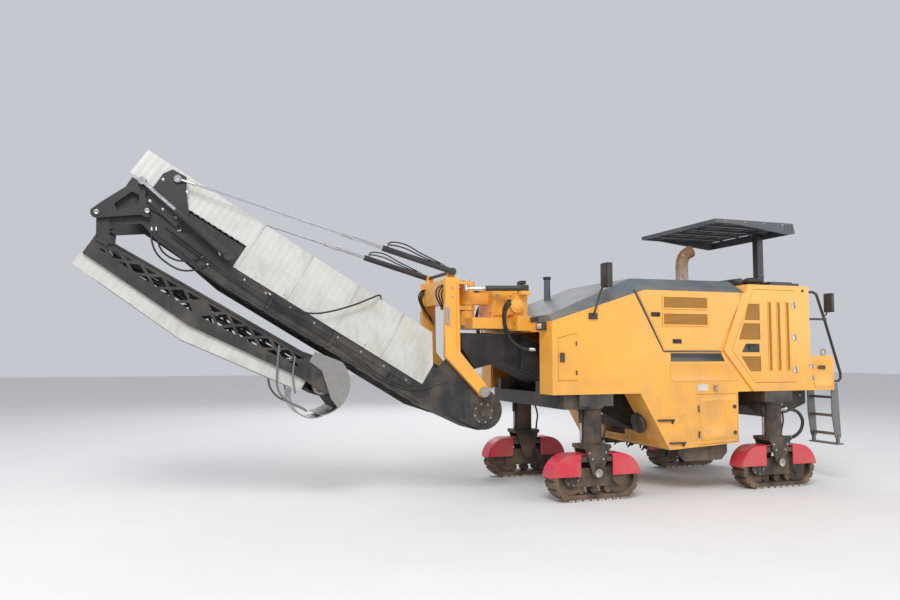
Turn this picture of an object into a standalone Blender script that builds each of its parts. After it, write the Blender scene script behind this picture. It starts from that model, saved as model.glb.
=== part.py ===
"""Cold planer: a tracked road milling machine with a folding, slewing discharge conveyor.

Vehicle axes: +X forward, +Y left, +Z up, metres. X is measured from midway between the axles and
the empty "machine" then moves everything so that the origin is under the middle of the whole length.
"""

import math

import bmesh
import bpy
from mathutils import Matrix, Vector

# ---------------------------------------------------------------- clearances
SEAT = 0.0003        # gap between two pieces that touch
PIN_PLAY = 0.0005    # radial gap of a pin in its hole
RUN = 0.006          # gap of a piece that moves past another

# ---------------------------------------------------------------- tracks and legs
WHEELBASE = 2.97
TRACK_GAUGE = 2.14   # between the track centres
TRACK_LENGTH = 1.27
TRACK_HEIGHT = 0.58
TRACK_WIDTH = 0.25
SHOE_COUNT = 28
SHOE_HEIGHT = 0.022
CHAIN_THICKNESS = 0.055
COLUMN_RADIUS = 0.13
YOKE_TOP = 0.72
YOKE_PLATE = 0.05
YOKE_CHEEK = 0.028
PIVOT_HEIGHT = 0.36
PIVOT_RADIUS = 0.07
BEAM_WIDTH = 0.16
FENDER_GAP = 0.016
FENDER_SHEET = 0.008

# ---------------------------------------------------------------- bodywork
BODY_WIDTH = 2.45
BODY_BOTTOM = 1.376
BODY_FRONT = 2.126
NOSE_TOP = 2.329
SHOULDER_X = 0.725
SHOULDER_TOP = 2.772
SPLIT_X = -0.95
REAR_BLOCK_FRONT = -1.0
REAR_BLOCK_TOP = 2.898
REAR_BLOCK_BACK = -2.086
STEP_TOP = 1.878
BODY_BACK = -2.516
WALL = 0.04
STRIP_WIDTH = 0.374  # each side's front-facing strip beside the open mouth
MOUTH_TOP = 2.2
WELL_WIDTH = 1.5     # operator's standing well between the two rear blocks
WELL_FRONT = -1.16
DOOR_GAP = 0.006
GROOVE = 0.055
GROOVE_DEPTH = 0.024
BELT_LINE = 1.955    # height of the crease that the engine door ends at

# ---------------------------------------------------------------- hood and top fittings
HOOD_RIDGE = 2.96
HOOD_HALF_TOP = 0.86
HOOD_NOSE = 0.085
EXHAUST_X = -0.32
EXHAUST_Y = 0.62
EXHAUST_RADIUS = 0.09
EXHAUST_WALL = 0.012
CANOPY_TOP = 3.878
CANOPY_FRONT = -0.68
CANOPY_BACK = -2.14
CANOPY_WIDTH = 1.9
CANOPY_SKIRT = 0.17
CANOPY_SHEET = 0.03
POST_X = -2.0
POST_Y = 0.3
POST_SIZE = 0.11

# ---------------------------------------------------------------- frame and drum
OUTRIGGER_DEPTH = 0.155
RAIL_INNER = 0.60
RAIL_OUTER = 0.73
RAIL_HEIGHT = 0.16
COLLAR_RADIUS = 0.165
COLLAR_DROP = 0.03
DRUM_X = -0.2
DRUM_Z = 0.86
DRUM_RADIUS = 0.46   # to the pick points
DRUM_SHELL = 0.37
DRUM_LEFT = 0.17
DRUM_RIGHT = -1.10
SHAFT_RADIUS = 0.09
HOUSING_FRONT_TOP = 0.819
HOUSING_FRONT = 0.376
HOUSING_BACK = -0.769
HOUSING_BOTTOM = 0.609
HOUSING_BACK_BOTTOM = 0.667
SIDE_PLATE = 0.03
SIDE_PLATE_BOTTOM = 0.43
SIDE_PLATE_TOP = 1.18
SIDE_PLATE_LIFT = 0.15
SCRAPER_HINGE_Z = 1.04
SCRAPER_BOTTOM = 0.52
SCRAPER_SHEET = 0.025

# ---------------------------------------------------------------- slewing nose
SLEW_X = 2.85
ARM_GAP = 0.94       # clear width between the two arms
ARM_THICK = 0.085
ARM_TOP = 2.92
ARM_BEND = 1.93
SLEW_PLATE_TOP = 2.90
SLEW_CYLINDER_Z = 2.805
SLEW_EYE = (2.97, 0.27)
SLEW_BASE = (2.19, 0.55)
LUFF_BASE = (3.24, 3.0)
KINGPIN_RADIUS = 0.05

# ---------------------------------------------------------------- boom, in its own (u, v) plane
LUFF_PIVOT = (2.80, 1.40)
BOOM_PITCH = math.radians(31.0)
BOOM_INNER_GAP = 0.84     # clear width between its side plates
BOOM_PLATE = 0.04
BELT_WIDTH = 0.66
BELT_THICK = 0.03
TAIL_RADIUS = 0.24
BOOM_LENGTH = 5.1
BOOM_BOTTOM = -0.60
COVER_START = 0.78
COVER_END = 3.60
COVER_TOP = 0.32
COVER_SHEET = 0.012
GUARD_END = 5.17
FOLD_PIVOT = (5.13, -0.62)
CRANK_PIVOT = (4.76, -0.32)
CRANK_TOP = (4.99, -0.06)
CRANK_LEFT = (5.20, -0.64)
FOLD_BASE = (3.71, -0.27)
STAY_PIN = (4.69, 0.20)
OUTER_KINK = 3.65
OUTER_TIP = 1.75
BRACE = 0.034        # width of a lattice diagonal

FRONT = WHEELBASE / 2
BACK = -WHEELBASE / 2
TRACK_Y = TRACK_GAUGE / 2
HALF = BODY_WIDTH / 2
CHASSIS_TOP = BODY_BOTTOM - SEAT
RAIL_TOP = BODY_BOTTOM + RAIL_HEIGHT
HOUSING_TOP = BODY_BOTTOM - SEAT


# ================================================================ scene and materials
def clear_scene():
    for obj in list(bpy.data.objects):
        bpy.data.objects.remove(obj, do_unlink=True)


def make_collection(name):
    collection = bpy.data.collections.new(name)
    bpy.context.scene.collection.children.link(collection)
    return collection


def make_material(name, color, roughness, metallic=0.0):
    material = bpy.data.materials.new(name)
    material.use_nodes = True
    shader = material.node_tree.nodes["Principled BSDF"]
    shader.inputs["Base Color"].default_value = (*color, 1.0)
    shader.inputs["Roughness"].default_value = roughness
    shader.inputs["Metallic"].default_value = metallic
    material.diffuse_color = (*color, 1.0)
    return material


# ================================================================ shapes
def add_object(name, mesh):
    obj = bpy.data.objects.new(name, mesh)
    PARTS.objects.link(obj)
    return obj


def mesh_object(name, bm):
    mesh = bpy.data.meshes.new(name)
    bm.to_mesh(mesh)
    bm.free()
    return add_object(name, mesh)


def baked(obj):
    """The object as a plain mesh: curves and modifiers applied, loose caps welded."""
    bpy.context.view_layer.update()
    evaluated = obj.evaluated_get(bpy.context.evaluated_depsgraph_get())
    mesh = bpy.data.meshes.new_from_object(evaluated)
    bm = bmesh.new()
    bm.from_mesh(mesh)
    bmesh.ops.remove_doubles(bm, verts=bm.verts, dist=1e-5)
    bmesh.ops.transform(bm, matrix=obj.matrix_world, verts=bm.verts)
    bmesh.ops.recalc_face_normals(bm, faces=bm.faces)
    name = obj.name
    bpy.data.objects.remove(obj, do_unlink=True)
    return mesh_object(name, bm)


def box(low, high, name="piece"):
    bm = bmesh.new()
    bmesh.ops.create_cube(bm, size=1.0)
    size = Vector(high) - Vector(low)
    middle = (Vector(high) + Vector(low)) / 2
    bmesh.ops.scale(bm, vec=size, verts=bm.verts)
    bmesh.ops.translate(bm, vec=middle, verts=bm.verts)
    return mesh_object(name, bm)


def rod(start, end, radius, sides=20, tip_radius=None, name="piece"):
    """A cylinder, or a cone with tip_radius, between two points."""
    start, end = Vector(start), Vector(end)
    bm = bmesh.new()
    tip = radius if tip_radius is None else tip_radius
    bmesh.ops.create_cone(
        bm, cap_ends=True, segments=sides, radius1=radius, radius2=tip, depth=(end - start).length
    )
    turn = (end - start).to_track_quat("Z", "Y").to_matrix().to_4x4()
    place = Matrix.Translation((start + end) / 2) @ turn
    bmesh.ops.transform(bm, matrix=place, verts=bm.verts)
    return mesh_object(name, bm)


def bore(start, end, radius, sides=20):
    """Cuts a hole that a round pin of that radius turns in: its flats clear the pin by PIN_PLAY."""
    return rod(start, end, (radius + PIN_PLAY) / math.cos(math.pi / sides), sides)


def pipe(points, radius, name="piece", sides=2):
    """A bent round bar: a bevelled curve with filled caps, made a mesh."""
    curve = bpy.data.curves.new(name, "CURVE")
    curve.dimensions = "3D"
    curve.bevel_depth = radius
    curve.bevel_resolution = sides
    curve.use_fill_caps = True
    spline = curve.splines.new("POLY")
    spline.points.add(len(points) - 1)
    for point, place in zip(spline.points, points):
        point.co = (*place, 1.0)
    return baked(add_object(name, curve))


def plate(outline, low, high, side="XZ", name="piece"):
    """A flat outline given thickness from low to high along the axis that the outline leaves out."""
    curve = bpy.data.curves.new(name, "CURVE")
    curve.dimensions = "2D"
    curve.fill_mode = "BOTH"
    curve.extrude = (high - low) / 2
    for ring in outline if isinstance(outline[0][0], (tuple, list)) else [outline]:
        spline = curve.splines.new("POLY")
        spline.points.add(len(ring) - 1)
        spline.use_cyclic_u = True
        for point, place in zip(spline.points, ring):
            point.co = (place[0], place[1], 0.0, 1.0)
    obj = add_object(name, curve)
    middle = (low + high) / 2
    if side == "XZ":
        obj.matrix_world = Matrix.Translation((0, middle, 0)) @ Matrix.Rotation(math.pi / 2, 4, "X")
    elif side == "YZ":
        turn = Matrix(((0, 0, 1, 0), (1, 0, 0, 0), (0, 1, 0, 0), (0, 0, 0, 1)))
        obj.matrix_world = Matrix.Translation((middle, 0, 0)) @ turn
    else:
        obj.matrix_world = Matrix.Translation((0, 0, middle))
    return baked(obj)


def arc(center, radius, start, stop, steps):
    """Points on a circle from one angle to another, in degrees."""
    angles = [math.radians(start + (stop - start) * i / steps) for i in range(steps + 1)]
    return [(center[0] + radius * math.cos(a), center[1] + radius * math.sin(a)) for a in angles]


def combine(base, others, operation):
    for index, other in enumerate(others):
        modifier = base.modifiers.new(f"{operation} {index}", "BOOLEAN")
        modifier.operation = operation
        modifier.object = other
        modifier.solver = "EXACT"
    result = baked(base)
    for other in others:
        bpy.data.objects.remove(other, do_unlink=True)
    return result


def joined(pieces):
    return combine(pieces[0], pieces[1:], "UNION")


def cut(base, cutters):
    return combine(base, cutters, "DIFFERENCE")


def mirrored(piece, name="piece"):
    """A copy on the other side of the machine's middle plane."""
    bm = bmesh.new()
    bm.from_mesh(piece.data)
    bmesh.ops.scale(bm, vec=(1, -1, 1), verts=bm.verts)
    bmesh.ops.reverse_faces(bm, faces=bm.faces)
    return mesh_object(name, bm)


def both_sides(piece):
    return [piece, mirrored(piece)]


def turned(piece, matrix):
    piece.data.transform(matrix)
    return piece


def finish(piece, name, material, origin=(0, 0, 0), smooth=35):
    """Names a finished solid, gives it its material and puts its origin on its joint's axis."""
    piece.data.transform(Matrix.Translation(-Vector(origin)))
    piece.location = origin
    piece.parent = MACHINE
    piece.name = name
    piece.data.name = name
    piece.data.materials.clear()
    piece.data.materials.append(material)
    piece.data.shade_smooth()
    piece.data.set_sharp_from_angle(angle=math.radians(smooth))
    return piece


def boom_matrix():
    """From the boom's own plane (u along it, y across, v up from it) to the vehicle."""
    return Matrix.Translation((LUFF_PIVOT[0], 0, LUFF_PIVOT[1])) @ Matrix.Rotation(-BOOM_PITCH, 4, "Y")


def on_boom(u, v, y=0.0):
    return tuple(boom_matrix() @ Vector((u, y, v)))


# ================================================================ tracks and legs
def loop_outline(length, height, inset, center):
    """A track's side outline: two half circles joined by straight runs."""
    radius = height / 2 - inset
    reach = length / 2 - height / 2
    front = arc((center[0] + reach, center[1]), radius, -90, 90, 12)
    return front + arc((center[0] - reach, center[1]), radius, 90, 270, 12)


def shoe_outline(length, height, center):
    """The loop's outer outline with one raised shoe after another."""
    radius = height / 2 - SHOE_HEIGHT
    reach = length / 2 - height / 2
    straight = 2 * reach
    total = 2 * straight + 2 * math.pi * radius

    def at(distance, lift):
        distance %= total
        r = radius + lift
        if distance < straight:
            return (center[0] - reach + distance, center[1] - r)
        distance -= straight
        if distance < math.pi * radius:
            a = distance / radius - math.pi / 2
            return (center[0] + reach + r * math.cos(a), center[1] + r * math.sin(a))
        distance -= math.pi * radius
        if distance < straight:
            return (center[0] + reach - distance, center[1] + r)
        a = (distance - straight) / radius + math.pi / 2
        return (center[0] - reach + r * math.cos(a), center[1] + r * math.sin(a))

    pitch = total / SHOE_COUNT
    points = []
    for shoe in range(SHOE_COUNT):
        start = shoe * pitch
        points += [at(start + 0.12 * pitch, 0), at(start + 0.14 * pitch, SHOE_HEIGHT)]
        points += [at(start + 0.86 * pitch, SHOE_HEIGHT), at(start + 0.88 * pitch, 0)]
    return points


def make_track(x, y):
    center = (x, TRACK_HEIGHT / 2)
    inner = loop_outline(TRACK_LENGTH, TRACK_HEIGHT, SHOE_HEIGHT + CHAIN_THICKNESS, center)
    outline = [shoe_outline(TRACK_LENGTH, TRACK_HEIGHT, center), inner]
    return plate(outline, y - TRACK_WIDTH / 2, y + TRACK_WIDTH / 2)


def make_leg(x, y):
    """Column, yoke, pivot and track beam with its idler and drive wheel."""
    inner = TRACK_HEIGHT / 2 - SHOE_HEIGHT - CHAIN_THICKNESS - SEAT
    reach = TRACK_LENGTH / 2 - TRACK_HEIGHT / 2
    mid = TRACK_HEIGHT / 2
    cheek_in = TRACK_WIDTH / 2 + 0.012
    cheek_out = cheek_in + YOKE_CHEEK
    column = rod((x, y, YOKE_TOP - YOKE_PLATE / 2), (x, y, BODY_BOTTOM - 0.02), COLUMN_RADIUS, 28)
    top = box((x - 0.2, y - cheek_out, YOKE_TOP - YOKE_PLATE), (x + 0.2, y + cheek_out, YOKE_TOP))
    outline = [(x + 0.19, YOKE_TOP - 0.01), (x - 0.19, YOKE_TOP - 0.01)]
    outline += arc((x, PIVOT_HEIGHT), PIVOT_RADIUS, 200, 340, 8)
    cheeks = [plate(outline, y + s * cheek_in, y + s * cheek_out) if s > 0 else
              plate(outline, y + s * cheek_out, y + s * cheek_in) for s in (-1, 1)]
    pin = rod((x, y - cheek_out - 0.012, PIVOT_HEIGHT), (x, y + cheek_out + 0.012, PIVOT_HEIGHT), 0.035, 16)
    beam = box((x - reach, y - BEAM_WIDTH / 2, mid - 0.11), (x + reach, y + BEAM_WIDTH / 2, mid + 0.13))
    rim = (inner + SEAT) * math.cos(math.pi / 24) - SEAT
    wheels = [rod((x + s * reach, y - 0.06, mid), (x + s * reach, y + 0.06, mid), rim, 28) for s in (-1, 1)]
    hub = rod((x - reach, y, mid), (x - reach, y + TRACK_WIDTH / 2 - 0.01, mid), 0.1, 20)
    lug_end = TRACK_WIDTH / 2 + 0.006 - SEAT
    lugs = [box((x + s * 0.40 - 0.06, y - lug_end, mid + 0.02), (x + s * 0.40 + 0.06, y + lug_end, mid + 0.07))
            for s in (-1, 1)]
    return joined([column, top, *cheeks, pin, beam, *wheels, hub, *lugs])


def make_fender(x, y):
    """Sheet over the chain with a quarter-round side plate at each end, both sides."""
    reach = TRACK_LENGTH / 2 - TRACK_HEIGHT / 2
    mid = TRACK_HEIGHT / 2
    outer = TRACK_HEIGHT / 2 + FENDER_GAP + FENDER_SHEET
    side_in = TRACK_WIDTH / 2 + 0.006
    side_out = side_in + 0.008
    low, high = 4, 90
    front = arc((x + reach, mid), outer, low, high, 8)
    back = arc((x - reach, mid), outer, 180 - high, 180 - low, 8)
    inner_front = arc((x + reach, mid), outer - FENDER_SHEET, low, high, 8)
    inner_back = arc((x - reach, mid), outer - FENDER_SHEET, 180 - high, 180 - low, 8)
    band = front + back + inner_back[::-1] + inner_front[::-1]
    pieces = [plate(band, y - side_out + 0.0025, y + side_out - 0.0025)]
    for s in (-1, 1):
        rim = arc((x + s * reach, mid), outer - 0.004, 6 if s > 0 else 174, 90, 9)
        rim += [(x + s * 0.235, mid + outer - 0.004), (x + s * 0.235, rim[0][1])]
        for side in (-1, 1):
            span = sorted((y + side * side_in, y + side * side_out))
            pieces.append(plate(rim, *span))
    return joined(pieces)


# ================================================================ frame
def make_chassis():
    pieces = []
    for s in (-1, 1):
        low, high = sorted((s * RAIL_INNER, s * RAIL_OUTER))
        pieces.append(box((BODY_BACK + 0.1, low, BODY_BOTTOM + SEAT), (BODY_FRONT - 0.06, high, RAIL_TOP)))
        for axle in (FRONT, BACK):
            near, far = sorted((s * (RAIL_INNER - 0.05), s * (HALF - 0.004)))
            plate_low = CHASSIS_TOP - OUTRIGGER_DEPTH
            pieces.append(box((axle - 0.25, near, plate_low), (axle + 0.25, far, CHASSIS_TOP)))
            pieces.append(box((axle - 0.2, low + 0.01, CHASSIS_TOP - 0.05), (axle + 0.2, high - 0.01, RAIL_TOP - 0.02)))
            y = s * TRACK_Y
            pieces.append(rod((axle, y, plate_low - COLLAR_DROP), (axle, y, plate_low + 0.02), COLLAR_RADIUS, 28))
    depth = OUTRIGGER_DEPTH + 0.04
    pieces.append(box((FRONT + 0.14, -HALF + 0.06, CHASSIS_TOP - depth), (FRONT + 0.45, HALF - 0.06, CHASSIS_TOP - 0.001)))
    rear = [(BACK + 0.22, CHASSIS_TOP - 0.002), (BODY_BACK + 0.16, CHASSIS_TOP - 0.002)]
    rear += [(BODY_BACK + 0.16, 1.16), (BACK - 0.5, 1.02), (BACK - 0.02, 0.98), (BACK + 0.22, 1.14)]
    pieces.append(plate(rear, -0.82, 0.82))
    frame = joined(pieces)
    holes = [bore((axle, s * TRACK_Y, 0.9), (axle, s * TRACK_Y, BODY_BOTTOM - 0.02 + SEAT), COLUMN_RADIUS, 28) for axle in (FRONT, BACK) for s in (-1, 1)]
    return cut(frame, holes)


def housing_outline():
    return [(HOUSING_FRONT_TOP, HOUSING_TOP), (HOUSING_FRONT, HOUSING_BOTTOM),
            (HOUSING_BACK, HOUSING_BACK_BOTTOM), (HOUSING_BACK, HOUSING_TOP)]


SIDE_PLATE_X = (DRUM_X - 0.44, DRUM_X + 0.36)
SIDE_PLATE_Y = (HALF - 0.115, -HALF + 0.055)


def make_drum_housing():
    body = plate(housing_outline(), -HALF, HALF)
    radius = DRUM_RADIUS + 0.025
    chamber = [(DRUM_X + radius, 0.3), *arc((DRUM_X, DRUM_Z), radius, 0, 180, 24), (DRUM_X - radius, 0.3)]
    cutters = [plate(chamber, DRUM_RIGHT - 0.02, DRUM_LEFT + 0.02)]
    cutters.append(box((HOUSING_FRONT + 0.02, -0.8, 0.4), (1.0, 0.8, BODY_BOTTOM + 0.05)))
    cutters.append(box((DRUM_X, -0.42, 0.72), (HOUSING_FRONT + 0.1, 0.15, 1.12)))
    cutters.append(bore((DRUM_X, DRUM_RIGHT - 0.08, DRUM_Z), (DRUM_X, DRUM_LEFT + 0.1, DRUM_Z), SHAFT_RADIUS, 24))
    x0, x1 = SIDE_PLATE_X
    for y in SIDE_PLATE_Y:
        cutters.append(box((x0 - RUN, y - SIDE_PLATE / 2 - PIN_PLAY, 0.4),
                           (x1 + RUN, y + SIDE_PLATE / 2 + PIN_PLAY, SIDE_PLATE_TOP + SIDE_PLATE_LIFT + RUN)))
    cutters.append(box((HOUSING_BACK - 0.05, -0.8, 0.3),
                       (DRUM_X - radius + 0.05, DRUM_LEFT, SCRAPER_HINGE_Z + 0.03)))
    cutters.append(door_opening(DRUM_DOOR, (0, 1), 0, SEAT))
    housing = cut(body, cutters)
    pin = rod((HOUSING_BACK + 0.03, -0.81, SCRAPER_HINGE_Z), (HOUSING_BACK + 0.03, DRUM_LEFT + 0.01, SCRAPER_HINGE_Z),
              0.014, 12)
    return joined([housing, pin])


def make_drum():
    pieces = [rod((DRUM_X, DRUM_RIGHT, DRUM_Z), (DRUM_X, DRUM_LEFT, DRUM_Z), DRUM_SHELL, 32)]
    pieces.append(rod((DRUM_X, DRUM_RIGHT - 0.048, DRUM_Z), (DRUM_X, DRUM_LEFT + 0.099, DRUM_Z), SHAFT_RADIUS, 24))
    rows = 16
    for row in range(rows):
        y = DRUM_RIGHT + 0.05 + (DRUM_LEFT - DRUM_RIGHT - 0.1) * row / (rows - 1)
        for start in range(2):
            a = math.radians(180 * start + 36 * (row if y < (DRUM_LEFT + DRUM_RIGHT) / 2 else rows - row))
            root = (DRUM_X + (DRUM_SHELL - 0.02) * math.cos(a), y, DRUM_Z + (DRUM_SHELL - 0.02) * math.sin(a))
            b = a + 0.12
            tip = (DRUM_X + DRUM_RADIUS * math.cos(b), y, DRUM_Z + DRUM_RADIUS * math.sin(b))
            pieces.append(rod(root, tip, 0.032, 6, 0.010))
    return joined(pieces)


def make_side_plate(y):
    x0, x1 = SIDE_PLATE_X
    skid = 0.1
    outline = [(x0, SIDE_PLATE_TOP), (x0, SIDE_PLATE_BOTTOM + skid), (x0 + skid, SIDE_PLATE_BOTTOM),
               (x1 - skid, SIDE_PLATE_BOTTOM), (x1, SIDE_PLATE_BOTTOM + skid), (x1, SIDE_PLATE_TOP)]
    return plate(outline, y - SIDE_PLATE / 2, y + SIDE_PLATE / 2)


def make_scraper():
    x = HOUSING_BACK + 0.03
    blade = box((x - SCRAPER_SHEET / 2, -0.8 + RUN, SCRAPER_BOTTOM),
                (x + SCRAPER_SHEET / 2, DRUM_LEFT - RUN, SCRAPER_HINGE_Z - 0.01))
    barrel = rod((x, -0.8 + RUN, SCRAPER_HINGE_Z), (x, DRUM_LEFT - RUN, SCRAPER_HINGE_Z), 0.026, 16)
    hole = bore((x, -0.9, SCRAPER_HINGE_Z), (x, DRUM_LEFT + 0.1, SCRAPER_HINGE_Z), 0.014, 12)
    return cut(joined([blade, barrel]), [hole])


# ================================================================ bodywork
def body_outline():
    return [(BODY_FRONT, BODY_BOTTOM), (BODY_FRONT, NOSE_TOP), (SHOULDER_X, SHOULDER_TOP),
            (SPLIT_X, SHOULDER_TOP), (REAR_BLOCK_FRONT, REAR_BLOCK_TOP), (REAR_BLOCK_BACK, REAR_BLOCK_TOP),
            (REAR_BLOCK_BACK, STEP_TOP), (BODY_BACK, STEP_TOP), (BODY_BACK, BODY_BOTTOM)]


def grown(outline, gap):
    """An outline moved outwards by gap; negative shrinks it. Points run in either sense."""
    area = sum(a[0] * b[1] - b[0] * a[1] for a, b in zip(outline, outline[1:] + outline[:1]))
    sign = 1 if area > 0 else -1
    result = []
    for before, point, after in zip(outline[-1:] + outline[:-1], outline, outline[1:] + outline[:1]):
        p, q, r = Vector(before), Vector(point), Vector(after)
        d1, d2 = (q - p).normalized(), (r - q).normalized()
        n1, n2 = Vector((d1.y, -d1.x)) * sign, Vector((d2.y, -d2.x)) * sign
        bisector = (n1 + n2).normalized()
        result.append(tuple(q + bisector * (gap / max(bisector.dot(n1), 0.2))))
    return result


ENGINE_DOOR = [(0.799, 2.735), (0.799, 2.66), (0.415, BELT_LINE), (-0.465, BELT_LINE), (-0.845, 2.66), (-0.845, 2.735)]
REAR_DOOR = [(-1.09, 2.825), (-1.83, 2.825), (-1.83, 1.50), (-1.08, 1.50), (-0.69, 1.96)]
LOCKER_DOOR = [(2.04, 1.56), (2.04, 2.105), (1.83, 2.16), (1.76, 2.16), (1.76, 1.56)]
DRUM_DOOR = [(-0.085, 1.345), (-0.085, 0.66), (-0.745, 0.69), (-0.745, 1.345)]


def door_panel(outline):
    return plate(outline, HALF - WALL, HALF)


def door_opening(outline, hinge, axis, depth):
    """Cuts a door's opening, with the running gap all round but close along its hinge edge."""
    ring = grown(outline, DOOR_GAP)
    for index in hinge:
        point = list(ring[index])
        edge = outline[index][axis]
        point[axis] = edge + math.copysign(SEAT, point[axis] - edge)
        ring[index] = tuple(point)
    return plate(ring, HALF - WALL - depth, HALF + 0.01)


def make_body_shell():
    inner = HALF - WALL
    shell = plate(body_outline(), -HALF, HALF)
    nose = NOSE_TOP - WALL - 0.01
    bay = [(BODY_FRONT - WALL, 1.2), (BODY_FRONT - WALL, nose), (SHOULDER_X - 0.01, SHOULDER_TOP - WALL),
           (SPLIT_X + 0.02, SHOULDER_TOP - WALL), (SPLIT_X + 0.02, 1.2)]
    mouth = HALF - STRIP_WIDTH
    cutters = [plate(bay, -inner, inner), box((BODY_FRONT - 0.2, -mouth, 1.2), (BODY_FRONT + 0.2, mouth, MOUTH_TOP))]
    well = WELL_WIDTH / 2
    cutters.append(box((BODY_BACK - 0.1, -well, STEP_TOP), (WELL_FRONT, well, 3.2)))
    cutters.append(box((BODY_BACK + WALL, -well - WALL, 1.2), (SPLIT_X + 0.1, well + WALL, STEP_TOP - WALL)))
    for s in (-1, 1):
        low, high = sorted((s * (well + WALL), s * inner))
        cutters.append(box((REAR_BLOCK_BACK + WALL, low, BODY_BOTTOM + WALL),
                           (REAR_BLOCK_FRONT - 0.02, high, REAR_BLOCK_TOP - WALL)))
    groove = [(REAR_BLOCK_FRONT + 0.04, 2.93), (-0.55, BELT_LINE), (-1.07, 1.35),
              (-1.07 + GROOVE * 1.2, 1.35), (-0.55 + GROOVE * 1.3, BELT_LINE), (REAR_BLOCK_FRONT + 0.11, 2.93)]
    for s in (-1, 1):
        low, high = sorted((s * (HALF - GROOVE_DEPTH), s * (HALF + 0.01)))
        cutters.append(plate(groove, low, high))
    cutters += both_sides(door_opening(ENGINE_DOOR, (0, 5), 1, 0.01))
    cutters += both_sides(door_opening(REAR_DOOR, (1, 2), 0, 0.01))
    cutters.append(door_opening(LOCKER_DOOR, (3, 4), 0, 0.01))
    return cut(shell, cutters)


def make_hood():
    """Grey lid with chamfered sides that rises from the nose and carries on level."""
    stations = [(BODY_FRONT, NOSE_TOP, NOSE_TOP + HOOD_NOSE), (SHOULDER_X, SHOULDER_TOP, HOOD_RIDGE),
                (SPLIT_X + 0.001, SHOULDER_TOP, HOOD_RIDGE + 0.01)]
    bm = bmesh.new()
    rings = []
    for x, low, top in stations:
        low += SEAT
        half_top = HOOD_HALF_TOP if x < BODY_FRONT else HALF - 0.09
        ring = [(-HALF + 0.02, low), (HALF - 0.02, low), (half_top, top), (-half_top, top)]
        rings.append([bm.verts.new((x, y, z)) for y, z in ring])
    for a, b in zip(rings, rings[1:]):
        for i in range(4):
            bm.faces.new((a[i], a[(i + 1) % 4], b[(i + 1) % 4], b[i]))
    bm.faces.new(rings[0][::-1])
    bm.faces.new(rings[-1])
    bmesh.ops.recalc_face_normals(bm, faces=bm.faces)
    hood = mesh_object("piece", bm)
    pipe_seat = rod((EXHAUST_X, EXHAUST_Y, HOOD_RIDGE - 0.05 - SEAT), (EXHAUST_X, EXHAUST_Y, 3.1),
                    EXHAUST_RADIUS + 0.004, 28)
    stub = rod((1.28, -0.6, 2.66), (1.28, -0.6, 3.06), 0.05, 20)
    return cut(joined([hood, stub]), [pipe_seat])


def make_exhaust():
    bend = 0.2
    rise = 3.22
    points = [(EXHAUST_X, EXHAUST_Y, HOOD_RIDGE - 0.05), (EXHAUST_X, EXHAUST_Y, rise)]
    points += [(EXHAUST_X - bend + bend * math.cos(a), EXHAUST_Y, rise + bend * math.sin(a))
               for a in (math.radians(12 * i) for i in range(1, 7))]
    last, before = Vector(points[-1]), Vector(points[-2])
    points.append(tuple(last + (last - before).normalized() * 0.03))
    outside = pipe(points, EXHAUST_RADIUS, sides=4)
    inside = [points[0][:2] + (HOOD_RIDGE + 0.05,)] + points[1:-1] + [tuple(last + (last - before).normalized() * 0.1)]
    return cut(outside, [pipe(inside, EXHAUST_RADIUS - EXHAUST_WALL, sides=4)])


def make_precleaner():
    x, y = -1.28, 0.98
    base = REAR_BLOCK_TOP + SEAT
    outline = [(0.0, base + 0.125), (0.07, base + 0.12), (0.15, base + 0.09), (0.165, base + 0.06),
               (0.15, base + 0.045), (0.11, base + 0.04), (0.11, base), (0.0, base)]
    bm = bmesh.new()
    verts = [bm.verts.new((r, 0, z)) for r, z in outline]
    edges = [bm.edges.new(pair) for pair in zip(verts, verts[1:])]
    bmesh.ops.spin(bm, geom=verts + edges, cent=(0, 0, 0), axis=(0, 0, 1), angle=2 * math.pi, steps=28)
    bmesh.ops.remove_doubles(bm, verts=bm.verts, dist=1e-5)
    bmesh.ops.recalc_face_normals(bm, faces=bm.faces)
    bmesh.ops.translate(bm, vec=(x, y, 0), verts=bm.verts)
    return mesh_object("piece", bm)


def make_canopy():
    """A shallow roof with a skirt that deepens towards the back."""
    half = CANOPY_WIDTH / 2
    sheet = CANOPY_SHEET
    front, back = CANOPY_FRONT, CANOPY_BACK
    side = [(front, CANOPY_TOP), (front, CANOPY_TOP - 0.055), (front - 0.35, CANOPY_TOP - 0.06),
            (front - 0.8, CANOPY_TOP - 0.11), (back + 0.1, CANOPY_TOP - CANOPY_SKIRT), (back, CANOPY_TOP - CANOPY_SKIRT + 0.02),
            (back + 0.04, CANOPY_TOP)]
    roof = plate(side, -half, half)
    hollow = [(front - sheet, CANOPY_TOP - sheet), (front - sheet, CANOPY_TOP - 0.3),
              (back + sheet, CANOPY_TOP - 0.3), (back + sheet, CANOPY_TOP - sheet)]
    roof = cut(roof, [plate(hollow, -half + sheet, half - sheet)])
    ribs = [box((front - 0.1, y - 0.03, CANOPY_TOP - 0.055), (back + 0.1, y + 0.03, CANOPY_TOP - 0.02))
            for y in (-0.6, -0.2, 0.2, 0.6)]
    socket = box((POST_X - 0.1, POST_Y - 0.15, CANOPY_TOP - 0.07), (POST_X + 0.1, POST_Y + 0.15, CANOPY_TOP - 0.02))
    return joined([roof, *ribs, socket])


def make_canopy_post():
    h = POST_SIZE / 2
    top = CANOPY_TOP - 0.07 - SEAT
    base = box((POST_X - 0.12, POST_Y - 0.12, STEP_TOP + SEAT), (POST_X + 0.12, POST_Y + 0.12, STEP_TOP + 0.03))
    post = box((POST_X - h, POST_Y - h, STEP_TOP + 0.01), (POST_X + h, POST_Y + h, top))
    return joined([base, post])


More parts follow.
